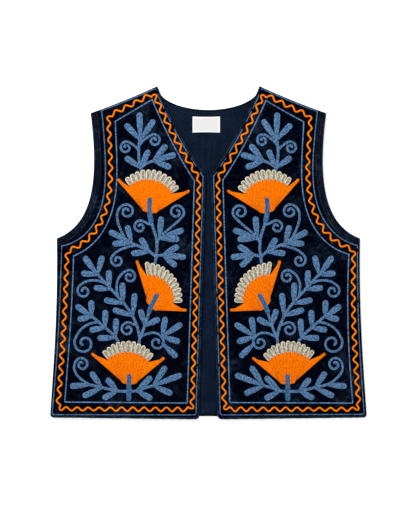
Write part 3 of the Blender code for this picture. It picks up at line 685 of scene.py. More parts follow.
def label_finish(name):
    """White satin-woven tape: close crosswise ribs, and a margin a little whiter than the middle."""
    made = Finish(name, Roughness=0.55, Specular_IOR_Level=0.3)
    place = made.on_object()
    x, y = made.split(place)
    middle = 1.0
    for place_on, centre, size in zip((x, y), LABEL_CENTRE, LABEL_SIZE):
        edge = (size / 2 - LABEL_MARGIN) * MM
        middle = abs(place_on - centre * MM).ramp(edge, edge - 0.0004) * middle
    rib = made.math("SINE", y * 11000.0)
    fleck = made.noise(place, 700.0, 2.0)
    colour = made.blend(middle, (0.745, 0.740, 0.725, 1), (0.625, 0.625, 0.615, 1))
    return made.set(colour, None, rib * 0.5 + fleck * 0.5, 0.35, 0.0002)


LABEL_FINISH = label_finish("white_tape")
label_u = np.unique(np.concatenate([np.linspace(-1, 1, 40), LABEL_RIM_U]))
label_v = np.unique(np.concatenate([np.linspace(-1, 1, 24), LABEL_RIM_V]))
label_x, label_y = np.meshgrid(label_u * LABEL_SIZE[0] / 2, label_v * LABEL_SIZE[1] / 2)
label_y = label_y * (1 - LABEL_PULL * np.cos(label_x / LABEL_SIZE[0] * math.pi))
label_plan = np.dstack([label_x, label_y]) + LABEL_CENTRE
label_rims = ((1 - np.abs(share)) * size / 2 for share, size in zip((label_u, label_v), LABEL_SIZE))
label_edge = np.minimum(*np.meshgrid(*label_rims))
label_wave = LABEL_WAVE * np.cos(label_x / LABEL_WAVE_RUN + 0.6) * np.abs(label_v[:, None]) ** 3
label_top = LABEL_FLOOR + LABEL_THICK + label_wave - rounding(label_edge, LABEL_ROUND)
label_shell = shell(label_plan, label_top, LABEL_FLOOR)
label = piece("bare_label", [label_shell], LABEL_FINISH, ["label"])

WHITE_THREAD = thread_finish("white_sewing_thread", (0.80, 0.79, 0.76))
label_sewing = []
for end in (-1, 1):
    x = LABEL_CENTRE[0] + end * (LABEL_SIZE[0] / 2 - LABEL_SEAM_INSET)
    reach = LABEL_SIZE[1] / 2 - LABEL_SEAM_END
    path = np.array([(x, LABEL_CENTRE[1] - reach), (x, LABEL_CENTRE[1] + reach)])
    path = at_height(path, LABEL_FLOOR + LABEL_THICK + LABEL_SEAM_LIFT)
    label_sewing += stitches(path, *LABEL_STITCH)
label_stitches = piece("label_stitches", label_sewing, WHITE_THREAD)

# The fronts: two velvet panels that mirror each other, lying pile up on the lining. They are seamed to the
# back at side and shoulder, sink to those seams, and swell softly inside from the embroidery's padding.

ROLL = 3.4
SEAM_RAMP = 8.0
SEAM_FLOOR = LINING_FLOOR
FRONT_FLOOR = LINING_FLOOR + LINING + GAP
PILLOW_RISE = 2.0
PILLOW_REACH = 95.0
FRONT_ROUND = 1.1
HEM_CORNER = 5.0
FRONT_STEP = 3.4
FREE_MARGIN = 5.0
CREASE_FADE = 25.0
EDGES = (
    ("neck", bezier((NECK_POINT, NECKLINE_PULL, V_POINT), 40)),
    ("front", bezier((V_POINT, FRONT_HEM), 40)),
    ("hem", bezier((FRONT_HEM, SIDE_HEM), 30)),
    ("side", bezier((SIDE_HEM, *SIDE_CURVE), 40)),
    ("armhole", ARMHOLE_EDGE),
    ("shoulder", SHOULDER_EDGE),
)
FRONT_CREASES = {
    "right": (
        Crease(222, -30, -38, 120, 30, 0.7),
        Crease(206, -70, 28, 90, 18, -0.5),
        Crease(60, -232, 70, 90, 20, 0.6),
        Crease(228, -200, 6, 120, 22, 0.6),
        Crease(150, -180, 50, 80, 18, -0.4),
        Crease(66, 100, -18, 90, 22, 0.4),
        Crease(160, 90, 12, 120, 18, 0.45),
        Crease(176, 196, -30, 60, 14, 0.5),
    ),
    "left": (
        Crease(226, -12, -24, 130, 26, 0.6),
        Crease(196, -96, 34, 100, 20, -0.45),
        Crease(48, -210, -40, 110, 22, 0.55),
        Crease(234, -176, 4, 150, 20, 0.7),
        Crease(120, -60, -62, 90, 16, -0.4),
        Crease(58, 70, 10, 110, 24, 0.45),
        Crease(168, 60, 20, 110, 20, 0.5),
        Crease(104, 226, 14, 70, 16, 0.6),
    ),
}


SEWN_EDGES = inset(EDGES, Border(0, 0, 0, 0, BAND + GAP, 0))
SEAM_LINE = at(stretch(SEWN_EDGES, "side", "neck"), np.linspace(0, 1, 60))
FREE_LINE = [at(EDGES[0][1], np.linspace(0, 1, 12))]
FREE_LINE += [stretch(SEWN_EDGES, name)[:1] for name in ("hem", "side")]
FREE_LINE = np.vstack(FREE_LINE)


def front_floor(points):
    """Height of a front's underside: a ramp up from the seams, and a smooth swell away from all edges."""
    from_seam = distance_to(points, SEAM_LINE)
    ramp = np.clip(from_seam / SEAM_RAMP, 0, 1)
    swell = np.clip(np.minimum(from_seam, distance_to(points, FREE_LINE)) / PILLOW_REACH, 0, 1)
    return SEAM_FLOOR + (FRONT_FLOOR - SEAM_FLOOR) * ramp + PILLOW_RISE * eased(swell)


def front_top(points, side):
    """Height of a front's pile: its underside, the velvet and its creases, which fade at the free edges."""
    fade = np.clip((distance_to(points, FREE_LINE) - FREE_MARGIN) / CREASE_FADE, 0, 1)
    return front_floor(points) + VELVET + crease_rise(points, FRONT_CREASES[side]) * fade


free_edge = ROLL - TUCK
front_edges = rounded(inset(EDGES, Border(free_edge, free_edge, free_edge, 0, BAND, 0)), "side", HEM_TURN)
front_plan = sheet_plan(
    stretch(front_edges, "hem", "side"),
    stretch(front_edges, "side", "shoulder"),
    stretch(front_edges, "shoulder", "neck")[::-1],
    stretch(front_edges, "neck", "hem")[::-1],
    FRONT_STEP,
)
front_edge = over_plan(distance_to, front_plan, stretch(front_edges, "neck"))
front_under = over_plan(front_floor, front_plan)
for side, sign in SIDES.items():
    over = over_plan(front_top, front_plan, side) - rounding(front_edge, FRONT_ROUND)
    front_shell = shell(front_plan * (sign, 1), over, front_under, (front_edge, 0))
    name = f"velvet_front_{side}"
    piece(name, [front_shell], VELVET_FINISH, [f"front_{side}"])

# The rolled edges: a strip of the same velvet turned over the raw edge and sewn under, so that it stands up
# as a round cord along the neck, the centre front and the hem. It puckers a little along its length.

STITCH_CREASE = 80
ROLL_STEP = 2.2
ROLL_PUCKERS = ((0.05, 2.3, 0), (0.04, 5.9, 1), (0.03, 13.0, 2))
pieces_on = {side: [] for side in SIDES}


def ripples(run, waves):
    """A sum of sines along a run: each has its size, its run for one radian and its start."""
    return sum(size * np.sin(run / per + start) for size, per, start in waves)


def sewn_on(side, name, patches, finish, node=None, crisp=STITCH_CREASE):
    """A piece sewn to the front of a side, which stands for the node of that side or for none."""
    nodes = [f"{node}_{side}"] if node else ()
    pieces_on[side].append(piece(f"{name}_{side}", patches, finish, nodes, crisp))


roll_edges = inset(EDGES, Border(ROLL / 2, ROLL / 2, ROLL / 2, ROLL / 2, 0, 0))
roll_edges = rounded(rounded(roll_edges, "hem", HEM_CORNER), "side", HEM_TURN)
roll_line = stretch(roll_edges, "neck", "side")
roll_count = round(shares_of(roll_line)[1] / ROLL_STEP)
roll_path = at(roll_line, np.linspace(0, 1, roll_count))
roll_run = np.arange(roll_count) * ROLL_STEP
pucker = ripples(roll_run, ROLL_PUCKERS)
roll_height = front_floor(roll_path) + ROLL / 2
for side, sign in SIDES.items():
    path = np.column_stack([roll_path * (sign, 1), roll_height + pucker * 2])
    roll_patch = tube(path, ROLL / 2 * (0.98 + pucker))
    sewn_on(side, "rolled_edge", [roll_patch], CREST_LIT_VELVET, "edge_roll", CLOTH_CREASE)

# The armhole bands: a doubled strip of velvet with two close rows of machine stitching, which leave three
# soft ridges along it. The front halves show, and the back halves lie under them, their rows facing down.

BAND_RIDGES = 3
BAND_RISE = 0.8
BAND_THICK = 2.3
BAND_ROUND = 1.2
BACK_BAND_ROUND = 0.9
BACK_BAND_GROOVE = 0.35
BAND_SEAM_LIFT = 0.12
BAND_PUCKERS = ((0.10, 1.9, 0),)
BAND_STEP = 2.4
BAND_ROWS = (1 / 3, 2 / 3, 0.965)
BAND_THREAD = thread_finish("band_sewing_thread", (0.010, 0.014, 0.030))

band_inner = stretch(inset(EDGES, Border(0, 0, 0, 0, BAND, 0)), "armhole", "shoulder")
band_along = np.linspace(0, 1, round(shares_of(ARMHOLE_EDGE)[1] / BAND_STEP))
band_low = at(ARMHOLE_EDGE, band_along)
band_high = at(band_inner, band_along)
band_columns = np.unique(np.concatenate([np.linspace(0, 1, 31), [0.012, 0.035, 0.965, 0.988]]))
band_grid = band_plan(band_low, band_high, band_columns)
band_length = shares_of(ARMHOLE_EDGE)[1]
band_ends = np.minimum(band_along, 1 - band_along)[:, None] * band_length
band_rim = np.minimum(band_ends, np.minimum(band_columns, 1 - band_columns)[None] * BAND)
ridge = np.abs(np.sin(band_columns * math.pi * BAND_RIDGES)) ** 0.7
ripple = ripples(band_along * band_length, BAND_PUCKERS)[:, None] * ridge[None]
band_uv = (band_columns[None] * BAND_RIDGES, band_ends)
for side, sign in SIDES.items():
    over = SEAM_FLOOR + BAND_THICK + BAND_RISE * ridge[None] + ripple - rounding(band_rim, BAND_ROUND)
    front_band = shell(band_grid * (sign, 1), over, SEAM_FLOOR, band_uv)
    node = "armhole_band_front"
    sewn_on(side, "stitched_band", [front_band], CREST_LIT_VELVET, node, CLOTH_CREASE)
    drop = rounding(band_rim, BACK_BAND_ROUND)
    under = BACK_BAND_GROOVE * (1 - ridge[None]) + drop
    back_band = shell(band_grid * (sign, 1), VELVET - drop, under, band_uv)
    node = f"armhole_band_back_{side}"
    piece(f"back_band_{side}", [back_band], CREST_LIT_VELVET, [node])
    rows = []
    for share in BAND_ROWS:
        path = band_plan(band_low, band_high, np.array([share]))[2:-2, 0] * (sign, 1)
        rows += stitches(at_height(path, SEAM_FLOOR + BAND_THICK + BAND_SEAM_LIFT))
    sewn_on(side, "band_stitches", rows, BAND_THREAD, None, CLOTH_CREASE)

# The embroidered borders: single rows of thick chain stitch in blue, and between them a waving one in
# orange. The outer line lies so close to the rolled edge that the pile half hides it there. Each border
# gives its distances from the garment's edges, which differ a little between the two sides.

OUTER_LINE = {
    "right": Border(5, (5, 5.5), (7.5, 5), (3, 6, 4, 9), (14, 28, 23, 17, 18, 19), 2.5),
    "left": Border(5, (5, 4.5), (7.5, 5.5), (4, 5, 4, 4), (13, 18, 22, 16, 14, 15), 2.5),
}
INNER_LINE = {
    "right": Border((16, 21), (19, 20.5), (27, 26), (23, 23, 25, 29), (36, 47, 42, 36, 36, 41), (33, 22, 15)),
    "left": Border((19, 21), (20, 21), (28, 24), (21, 24, 22, 17), (30, 43, 40, 33, 32, 37), (30, 23, 15)),
}
WAVE_OFF_MIDDLE = 0.9
SUNK = {
    "neck": 0.88,
    "front": 0.66,
    "turn": 0.55,
    "hem": 0.55,
    "side": 0.65,
    "armhole": -0.15,
    "shoulder": 0.0,
}
LINE_WIDTH = 2.3
OUTER_WIDTH = 2.2
WAVE_WIDTH = 3.0
WAVE_LENGTH = 18.4
WAVE_SWING = 3.0
WAVE_TURN = 9.0
WAVE_POINTS = 24
CHAIN_STEP = 1.7
CHAIN_LINK = 3.0
CHAIN_RISE = 1.0
ROW_DEPTH = 1.2
ROW_UNEVEN = ((0.10, 1.7, 0), (0.07, 4.3, 1.3))
SUNK_UNEVEN = ((0.25, 4.7, 0), (0.2, 11.3, 2), (0.15, 2.6, 0))
SWING_UNEVEN = ((0.10, 41.0, 0), (0.06, 17.0, 1))
DOME_POWER = 2.6
CHAIN_ACROSS = np.array([-1.0, -0.86, -0.6, -0.3, 0.0, 0.3, 0.6, 0.86, 1.0])
ROOTED = 0.3
SUNK_UNDER = 0.8
THINNEST = 0.6


def chain_finish(name, colour, shade, gain=1.10, slit=None, bundle=0):
    """Chain stitch. Across a row (U) and along a link (V), two strands part and meet as its loop does: the
    height falls with the distance from a strand, whose place across the row is a sine of that along it.
    The colour goes from its shade, painted shade in the valleys and between the strands and a darker tone in
    the random specks, to its gain, a painted highlight on the strands. A slit darkens the rows next to the
    spine, and a bundle paints shade in dashes along every so many valleys."""
    made = Finish(name, Roughness=0.85, Specular_IOR_Level=0.02, Sheen_Weight=0.02, Sheen_Roughness=0.5)
    row, link = made.split()
    place = made.on_object()
    off = abs(made.math("FRACT", row + 0.5) - 0.5) * 2.0
    strand = made.math("SINE", made.math("FRACT", link) * math.pi) * 0.55
    loop = abs(off - strand).ramp(0.42, 0.06)
    valley_shade = off.ramp(0.55, 1.0)
    fuzz = made.noise(place, 620.0, 3.0)
    fleck = made.noise(place, 380.0, 2.0).ramp(0.43, 0.57)
    # dark is painted shade for the valleys and the gaps between strands, and the tone of the random specks;
    # light is a painted highlight on the strands.
    dark = tuple(c * s for c, s in zip(colour, shade))
    light = tuple(min(1.0, c * gain) for c in colour)
    depth = (loop * 0.45 + 0.55) * (1 - valley_shade * 0.45) * (fleck * 0.86 + 0.20)
    shown = made.blend(depth, (*dark, 1), (*light, 1))
    if slit:
        grey = row.ramp(1.75, 1.15) * (1.0 - fleck * 0.45) + row.ramp(0.65, 0.25) * 0.35
        shown = made.blend(grey * 0.85, shown, (*slit, 1))
    if bundle:
        # Painted shade, in dashes, along the grooves between every bundle of rows, and in finer dashes in
        # every valley.
        share = made.math("FRACT", (row + 0.5) * (1 / bundle))
        seam = (abs(share - 0.5) * 2.0).ramp(0.74, 0.98)
        dash = made.noise(place, 250.0, 1.0).ramp(0.44, 0.58)
        fine = off.ramp(0.70, 1.0) * dash * 0.48
        deep = (dark[0] * 0.74, dark[1] * 0.52, 0.0, 1)
        shown = made.blend(seam * (dash * 0.64 + 0.24) + fine, shown, deep)
    return made.set(shown, None, loop * 0.7 + fuzz * 0.5, 0.8, 0.0005)


BLUE = chain_finish("blue_chain_stitch", (0.107, 0.214, 0.383), (0.26, 0.32, 0.37), 1.32)
# A dimmer blue, for the outer line.
DIMMER_BLUE = chain_finish("blue_chain_stitch_in_pile", (0.094, 0.188, 0.338), (0.30, 0.34, 0.40))
ORANGE = chain_finish("orange_chain_stitch", (0.95, 0.222, 0.0002), (0.84, 0.66, 0.50))
# The fan's orange, with painted shade in dashes along the grooves between its sections.
FAN_ORANGE = chain_finish("orange_fan_stitch", (0.93, 0.205, 0.0002), (0.82, 0.64, 0.50), bundle=3)


def closed_run(loop):
    """Distance along a closed loop to each of its points, and its whole length."""
    gaps = np.linalg.norm(np.roll(loop, -1, axis=0) - loop, axis=1)
    return np.concatenate([[0.0], np.cumsum(gaps)[:-1]]), gaps.sum()


def dome(share):
    """Height across a raised row: 1 in its middle, falling ever faster to 0 at its edge."""
    return np.sqrt(np.clip(1 - np.abs(share) ** DOME_POWER, 0, 1))


def chain_row(loops, side, rise, sunk=0.0):
    """A closed row of chain stitch on a front, domed across, through loops at CHAIN_ACROSS of its width."""
    sign = SIDES[side]
    run, length = closed_run(loops[len(loops) // 2])
    links = round(length / CHAIN_LINK)
    ground = front_top(loops[len(loops) // 2], side)
    rise = rise + ripples(run, ROW_UNEVEN)
    heights = [ground + rise * dome(a) - sunk - ROOTED for a in CHAIN_ACROSS]
    heights += [ground - ROW_DEPTH, ground - ROW_DEPTH, heights[0]]
    loops = [*loops, loops[-1], loops[0], loops[0]]
    grid = np.stack([np.column_stack([p * (sign, 1), z]) for p, z in zip(loops, heights)])
    across = np.concatenate([CHAIN_ACROSS, [1.0, -1.0, -1.0]]) * 0.45
    return rings(grid, uv_pairs(across[:, None], (run / length * links)[None]))


def border_row(border, width, corner, side, sunk_edges=None):
    """A row that follows the garment's edges at the border's distances, as lines cut at its corners."""
    middle = rounded(rounded(inset(EDGES, border), "hem", corner), "side", corner)
    counts = [max(2, round(shares_of(line)[1] / CHAIN_STEP)) for _, line in middle]
    loops = []
    for a in CHAIN_ACROSS * width / 2:
        edges = inset(EDGES, Border(*[np.array(d) + a for d in border]))
        edges = rounded(rounded(edges, "hem", corner - a), "side", corner - a)
        lines = [at(line, np.linspace(0, 1, n, endpoint=False)) for n, (_, line) in zip(counts, edges)]
        loops.append(np.vstack(lines))
    if not sunk_edges:
        return chain_row(loops, side, CHAIN_RISE)
    run, _ = closed_run(loops[len(loops) // 2])
    patchy = 0.55 + ripples(run, SUNK_UNEVEN)
    sunk = np.repeat([sunk_edges[name] for name, _ in middle], counts)
    return chain_row(loops, side, CHAIN_RISE, sunk * patchy)


def wave_row(side):
    """The waving row: its middle swings as a sine across a path that is averaged at corners. The path lies
    halfway between the two lines, a little nearer to the outer one."""
    both = zip(OUTER_LINE[side], INNER_LINE[side])
    border = Border(*[(np.array(low) + np.array(high)) / 2 - WAVE_OFF_MIDDLE for low, high in both])
    path = stretch(inset(EDGES, border), "neck")
    own, length = shares_of(path)
    own = own * length
    waves = round(length / WAVE_LENGTH)
    s = np.arange(waves * WAVE_POINTS) * length / (waves * WAVE_POINTS)

    def on_path(distance):
        return np.stack([np.interp(np.mod(distance, length), own, path[:, k]) for k in range(2)], axis=1)

    middle = sum(on_path(s + off) for off in np.linspace(-WAVE_TURN, WAVE_TURN, 7)) / 7
    inward = left_of(unit(on_path(s + WAVE_TURN) - on_path(s - WAVE_TURN)))
    beat = 2 * math.pi * s * waves / length
    swing = WAVE_SWING * (1 + ripples(s, SWING_UNEVEN))
    middle = middle - inward * (swing * np.sin(beat + 0.12 * np.sin(s / 29.0)))[:, None]
    inward = left_of(unit(np.roll(middle, -1, axis=0) - np.roll(middle, 1, axis=0)))
    loops = [middle + inward * a * WAVE_WIDTH / 2 for a in CHAIN_ACROSS]
    return chain_row(loops, side, CHAIN_RISE + 0.1)


for side in SIDES:
    rows = (
        ("outer", border_row(OUTER_LINE[side], OUTER_WIDTH, 4.0, side, SUNK), DIMMER_BLUE, "blue_thread"),
        ("inner", border_row(INNER_LINE[side], LINE_WIDTH, 1.5, side), BLUE, "blue_thread"),
        ("wave", wave_row(side), ORANGE, "orange_thread"),
    )
    for line, row, finish, slot in rows:
        sewn_on(side, f"chain_{line}", [row], finish, f"{line}_line")

# The fan flowers: radial rows of orange chain stitch between a short base and a scalloped top, a horn of
# four rows on each side, and over the top eleven cream petals, each a loop of stitches round a greyer slit.

PETALS = 11
PETAL_GAP = 0.88
PETAL_TUCK = 1.2
PETAL_UNEVEN = (0.2, -0.3, 0.1, 0.5, -0.2, 0.3, 0.4, -0.3, 0.2, -0.1, -0.4)
ROWS_PER_PETAL = 3
FAN_ACROSS = 5
FAN_UP = 23
FAN_RISE = 0.95
FAN_ROUND = 0.9
FAN_INSIDE = 9.0
FAN_GROOVE = 0.22
FAN_SEAM = 0.25
FAN_SEAM_FALL = 10.0
HORN_GROOVE = 0.25
PAD_GROOVE = 0.24
SCALLOP = 1.7
HORN_HALF = 2.6
HORN_BENDS = ((6.0, 0.9 * HORN_HALF), (8.0, -1.1 * HORN_HALF))
HORN_ROWS = 4
FAN_BASE = ((6.3, -1.2), (11.2, 0.2), (14.0, 3.8))
TAB_WIDTH = 8.6
TABS = (
    ((96.6, 87.6), (97.6, 76.0), (96.9, 64.0), (94.6, 52.0)),
    ((85.4, -70.9), (91.7, -82.7), (97.8, -96.8)),
    ((130.9, -204.3), (131.4, -225.0), (131.6, -241.5)),
)
Flower = namedtuple("Flower", "name across up heading petal_arc body_arc outer_horn inner_horn")
FLOWERS = (
    Flower("top", 97.1, 67.1, 9.5, (-3.6, 12.6, 57.9, 50), (-4.6, 4.6, 48.3, 48), (-61, 45.6), (59.1, 46.3)),
    Flower("middle", 95.4, -87.8, 46.9, (-14, -1.7, 64, 43), (-9.4, 2.1, 43, 48), (-70.6, 34.6), (46, 38.9)),
    Flower(
        "bottom", 130.9, -216.2, 2.8, (-4.4, 16.1, 54.5, 49), (-3.9, 1.7, 49.8, 43), (-64.6, 47.1), (56, 45.9)
    ),
)
CREAM_SLIT = (0.200, 0.188, 0.145)
CREAM = chain_finish("cream_chain_stitch", (0.800, 0.735, 0.570), (0.60, 0.58, 0.56), slit=CREAM_SLIT)


def along(heading):
    """Direction of a heading, in degrees from up the garment, positive towards the centre front."""
    angle = math.radians(heading)
    return np.array([-math.sin(angle), math.cos(angle)])


def in_flower(flower, points):
    """Points of the pattern, given across and up a flower."""
    ahead = along(flower.heading)
    rel = points - (flower.across, flower.up)
    return np.stack([rel @ (-ahead[1], ahead[0]), rel @ ahead], axis=1)


def on_flower(flower, points):
    """Points given across and up a flower, placed on the pattern."""
    ahead = along(flower.heading)
    right = np.array([-ahead[1], ahead[0]])
    return np.array((flower.across, flower.up)) + points[..., :1] * right + points[..., 1:] * ahead


def arc(centre_across, centre_up, radius, half_angle, shares):
    """Points of an arc that bulges up the flower, at shares from its outer end to its inner end."""
    angle = np.radians((np.asarray(shares) * 2 - 1) * half_angle)
    return np.column_stack([centre_across + radius * np.sin(angle), centre_up + radius * np.cos(angle)])


def rows_over(across, rows, deep):
    """Height of rows side by side: a squared cosine across each, from 0 in its middle to -deep."""
    return deep * (np.cos(math.pi * across * rows - math.pi / 2) ** 2 - 1)


def stitched_ground(plan, height, side, uv):
    """A closed stitched surface on a front: the heights over its pile above, a little sunk in it below."""
    ground = over_plan(front_top, plan, side)
    under = np.minimum(ground - SUNK_UNDER, ground + height - THINNEST)
    return shell(plan * (SIDES[side], 1), ground + height - ROOTED, under, uv)


def tab_room(plan):
    """1 on open ground, falling to 0 under a stem's tab, whose stitches lie over the fan."""
    near = np.min([over_plan(distance_to, plan, np.array(tab)) for tab in TABS], axis=0)
    return np.clip((near - TAB_WIDTH / 2 + 1.3) / 1.3, 0, 1)


def fan_patches(flower, side):
    """The fan's middle, between its base and its scalloped top, and its two horns."""
    across = np.linspace(0, 1, PETALS * ROWS_PER_PETAL * FAN_ACROSS + 1)
    up = np.concatenate([[0, 0.008, 0.025], np.linspace(0.05, 0.95, FAN_UP), [0.975, 0.992, 1.0]])
    radius = flower.body_arc[2] + SCALLOP * (2 * np.abs(np.sin(math.pi * PETALS * across)) - 1)
    top = arc(*flower.body_arc[:2], radius, flower.body_arc[3], across)
    base = [(-u, v) for u, v in FAN_BASE[::-1]] + list(FAN_BASE)
    base = at(np.array(base), across)
    local = base[None] * (1 - up[:, None, None]) + top[None] * up[:, None, None]
    length = np.linalg.norm(top - base, axis=1)[None]
    rim = np.minimum(up[:, None] * length, (1 - up[:, None]) * length)
    seam = np.exp(-((np.abs(np.mod(across * PETALS + 0.5, 1) - 0.5) * FAN_SEAM_FALL) ** 2))
    height = FAN_RISE + rows_over(across, PETALS * ROWS_PER_PETAL, FAN_GROOVE)[None]
    height = height - FAN_SEAM * seam[None] * up[:, None] - rounding(rim, FAN_ROUND)
    plan = on_flower(flower, local)
    uv = (across[None] * PETALS * ROWS_PER_PETAL - 0.5, up[:, None] * length / CHAIN_LINK)
    found = [stitched_ground(plan, height * tab_room(plan), side, uv)]
    for tip, corner, end, turn in (
        (flower.outer_horn, base[0], top[0], -1),
        (flower.inner_horn, base[-1], top[-1], 1),
    ):
        tip = np.array(tip, float)
        ahead = unit(tip - corner)
        out = np.array([ahead[1], -ahead[0]]) * turn
        turned = np.radians((80, 60, 40, 20))[:, None]
        cap = tip - ahead * HORN_HALF * (1 - np.cos(turned))
        swing = out * HORN_HALF * np.sin(turned)
        outer_bend, inner_bend = [tip - ahead * back + out * off for back, off in HORN_BENDS]
        outer = np.vstack([corner, outer_bend, cap + swing, tip])
        inner = np.vstack([corner, end, inner_bend, cap - swing, tip])
        share = np.concatenate([np.linspace(0.01, 0.94, 34), [0.965, 0.985, 0.998]])
        width = np.linspace(0, 1, HORN_ROWS * 5 + 1)
        edge_out, edge_in = at(outer, share), at(inner, share)
        local = edge_in[:, None] * (1 - width[None, :, None]) + edge_out[:, None] * width[None, :, None]
        broad = np.linalg.norm(edge_out - edge_in, axis=1)[:, None]
        run = share[:, None] * np.linalg.norm(tip - corner)
        rim = np.minimum(broad * (1 - width[None]), (1 - share[:, None]) * np.linalg.norm(tip - corner))
        past_fan = np.clip((run - np.linalg.norm(end - corner)) / 2.0, 0, 1)
        inner_rim = broad * width[None] / np.maximum(past_fan, 0.05)
        rim = np.minimum(rim, np.where(past_fan > 0, inner_rim, FAN_INSIDE))
        height = FAN_RISE + rows_over(width, HORN_ROWS, HORN_GROOVE)[None] - rounding(rim, FAN_ROUND)
        uv = (width[None] * HORN_ROWS - 0.5, run / CHAIN_LINK)
        found.append(stitched_ground(on_flower(flower, local), height, side, uv))
    return found


def pad(spine, half, rows, side, rise=CHAIN_RISE, room=None):
    """A stitched pad whose rows run round its spine. Rings at shares of the half width close round both
    ends; the height is a dome less a squared sine that counts the rows out from the spine."""
    ahead = heading_of(spine)
    left = left_of(ahead)
    half = np.broadcast_to(half, len(spine))
    turn = np.radians(np.linspace(90, -90, 9))[1:-1, None]
    tip = np.cos(turn) * ahead[-1] + np.sin(turn) * left[-1]
    root = -np.cos(turn) * ahead[0] - np.sin(turn) * left[0]
    caps = np.ones((len(turn), 1))
    centre = np.vstack([spine, caps * spine[-1], spine[::-1], caps * spine[0]])
    out = np.vstack([left, tip, -left[::-1], root])
    reach = np.concatenate([half, caps[:, 0] * half[-1], half[::-1], caps[:, 0] * half[0]])
    share = np.linspace(0, 1, round(rows * 2) * 2 + 1)
    share = np.unique(np.concatenate([share, [0.93, 0.98]]))
    plan = centre[None] + out[None] * (share[:, None] * reach[None])[..., None]
    run, length = closed_run(plan[-1])
    ridge = np.sin(math.pi * rows * share) ** 2
    height = ((rise - PAD_GROOVE * ridge) * dome(share))[:, None]
    ground = over_plan(front_top, plan, side)
    height = height * (over_plan(room, plan) if room else 1.0)
    top = np.dstack([plan * (SIDES[side], 1), ground + height - ROOTED])
    low = np.dstack([plan[[-1, 0]] * (SIDES[side], 1), ground[[-1, 0]] - SUNK_UNDER])
    links = max(1, round(length / CHAIN_LINK))
    across_row = np.concatenate([share * rows, [rows, 0]])[:, None]
    return rings(np.vstack([top, low]), uv_pairs(across_row, (run / length * links)[None]))


def petal_pads(flower, side):
    """The petals: a ring of pads from under the fan's top out to the petals' arc, parted at their ends."""
    shares = np.linspace(0, 1, 2 * PETALS + 1)
    near = arc(*flower.body_arc[:2], flower.body_arc[2] - SCALLOP - PETAL_TUCK, flower.body_arc[3], shares)
    far = arc(*flower.petal_arc[:3], flower.petal_arc[3] + 4.0, shares)

    def beyond_fan(points):
        reach = np.linalg.norm(in_flower(flower, points) - flower.body_arc[:2], axis=1)
        return np.clip(0.55 + (reach - flower.body_arc[2]) / 5.0, 0.4, 1.0)

    found = []
    for k in range(PETALS):
        low, high = near[2 * k + 1], far[2 * k + 1]
        root = np.linalg.norm(near[2 * k + 2] - near[2 * k]) / 2
        end = np.linalg.norm(far[2 * k + 2] - far[2 * k]) / 2 * PETAL_GAP
        ahead = unit(high - low)
        high = high + ahead * PETAL_UNEVEN[k]
        spine = at(np.array([low + ahead * root * 0.2, high - ahead * end]), np.linspace(0, 1, 9))
        half = np.interp(np.linspace(0, 1, 9), (0, 0.55, 1), (root * 0.98, (root + end) * 0.54, end))
        found.append(pad(on_flower(flower, spine), half, 2.5, side, CHAIN_RISE * 1.05, beyond_fan))
    return found


for side in SIDES:
    for flower in FLOWERS:
        name = flower.name
        fan, petals = fan_patches(flower, side), petal_pads(flower, side)
        sewn_on(side, f"fan_rows_{name}", fan, FAN_ORANGE, f"fan_{name}")
        sewn_on(side, f"petal_loops_{name}", petals, CREAM, f"petals_{name}")

# The leaf sprays: blue chain stitch again. Each leaf is five rows worked round and round, each stem and
# tendril three rows, and the tabs that hold the flowers are a deeper blue. Stems pass under the petals.

LEAF_WIDTH = 10.4
LEAF_ROOT = 0.45
STEM_WIDTH = 5.0
TENDRIL_WIDTH = 4.3
SPIRAL_SHRINK = 0.74
SPIRAL_EASE = 1.2
SPINE_STEP = 1.9
Stem = namedtuple("Stem", "spray route")
STEMS = (
    Stem("top", ((111.4, 136.0), (114.2, 150.0), (115.2, 165.0), (114.5, 180.0), (112.3, 188.0))),
    Stem("top", ((112.3, 139.5), (104.0, 146.5), (91.3, 151.9))),
    Stem("upper", ((95.3, 56.0), (91.6, 42.0), (86.5, 26.0), (85.0, 10.0), (86.0, -4.0), (88.1, -18))),
    Stem("upper", ((87.0, -6.5), (97.8, 2.5), (109.8, 8.6), (126.7, 15.5))),
    Stem("upper", ((85.8, 14.0), (82.0, 23.4))),
    Stem("upper", ((87.0, -6.0), (75.7, -3.5))),
    Stem("middle", ((95.8, -92.0), (103.8, -116.8), (108.8, -130.9), (112.8, -139.9), (115.2, -151))),
    Stem("middle", ((113.3, -141.0), (118.8, -118.9), (133.9, -90.8), (162.0, -58.7), (183.0, -36))),
    Stem("side", ((147.0, -150.0), (156.0, -136.9), (171.0, -123.5), (192.0, -105.5))),
    Stem("base", ((130.5, -229.0), (149.9, -228.6), (174.0, -223.2), (196.1, -218.2))),
    Stem("base", ((132.5, -229.0), (117.8, -228.4), (105.8, -223.6), (91.7, -219.8))),
)
TAB_SPRAYS = ("upper", "middle", "base")
Tuft = namedtuple("Tuft", "spray across up leaves")
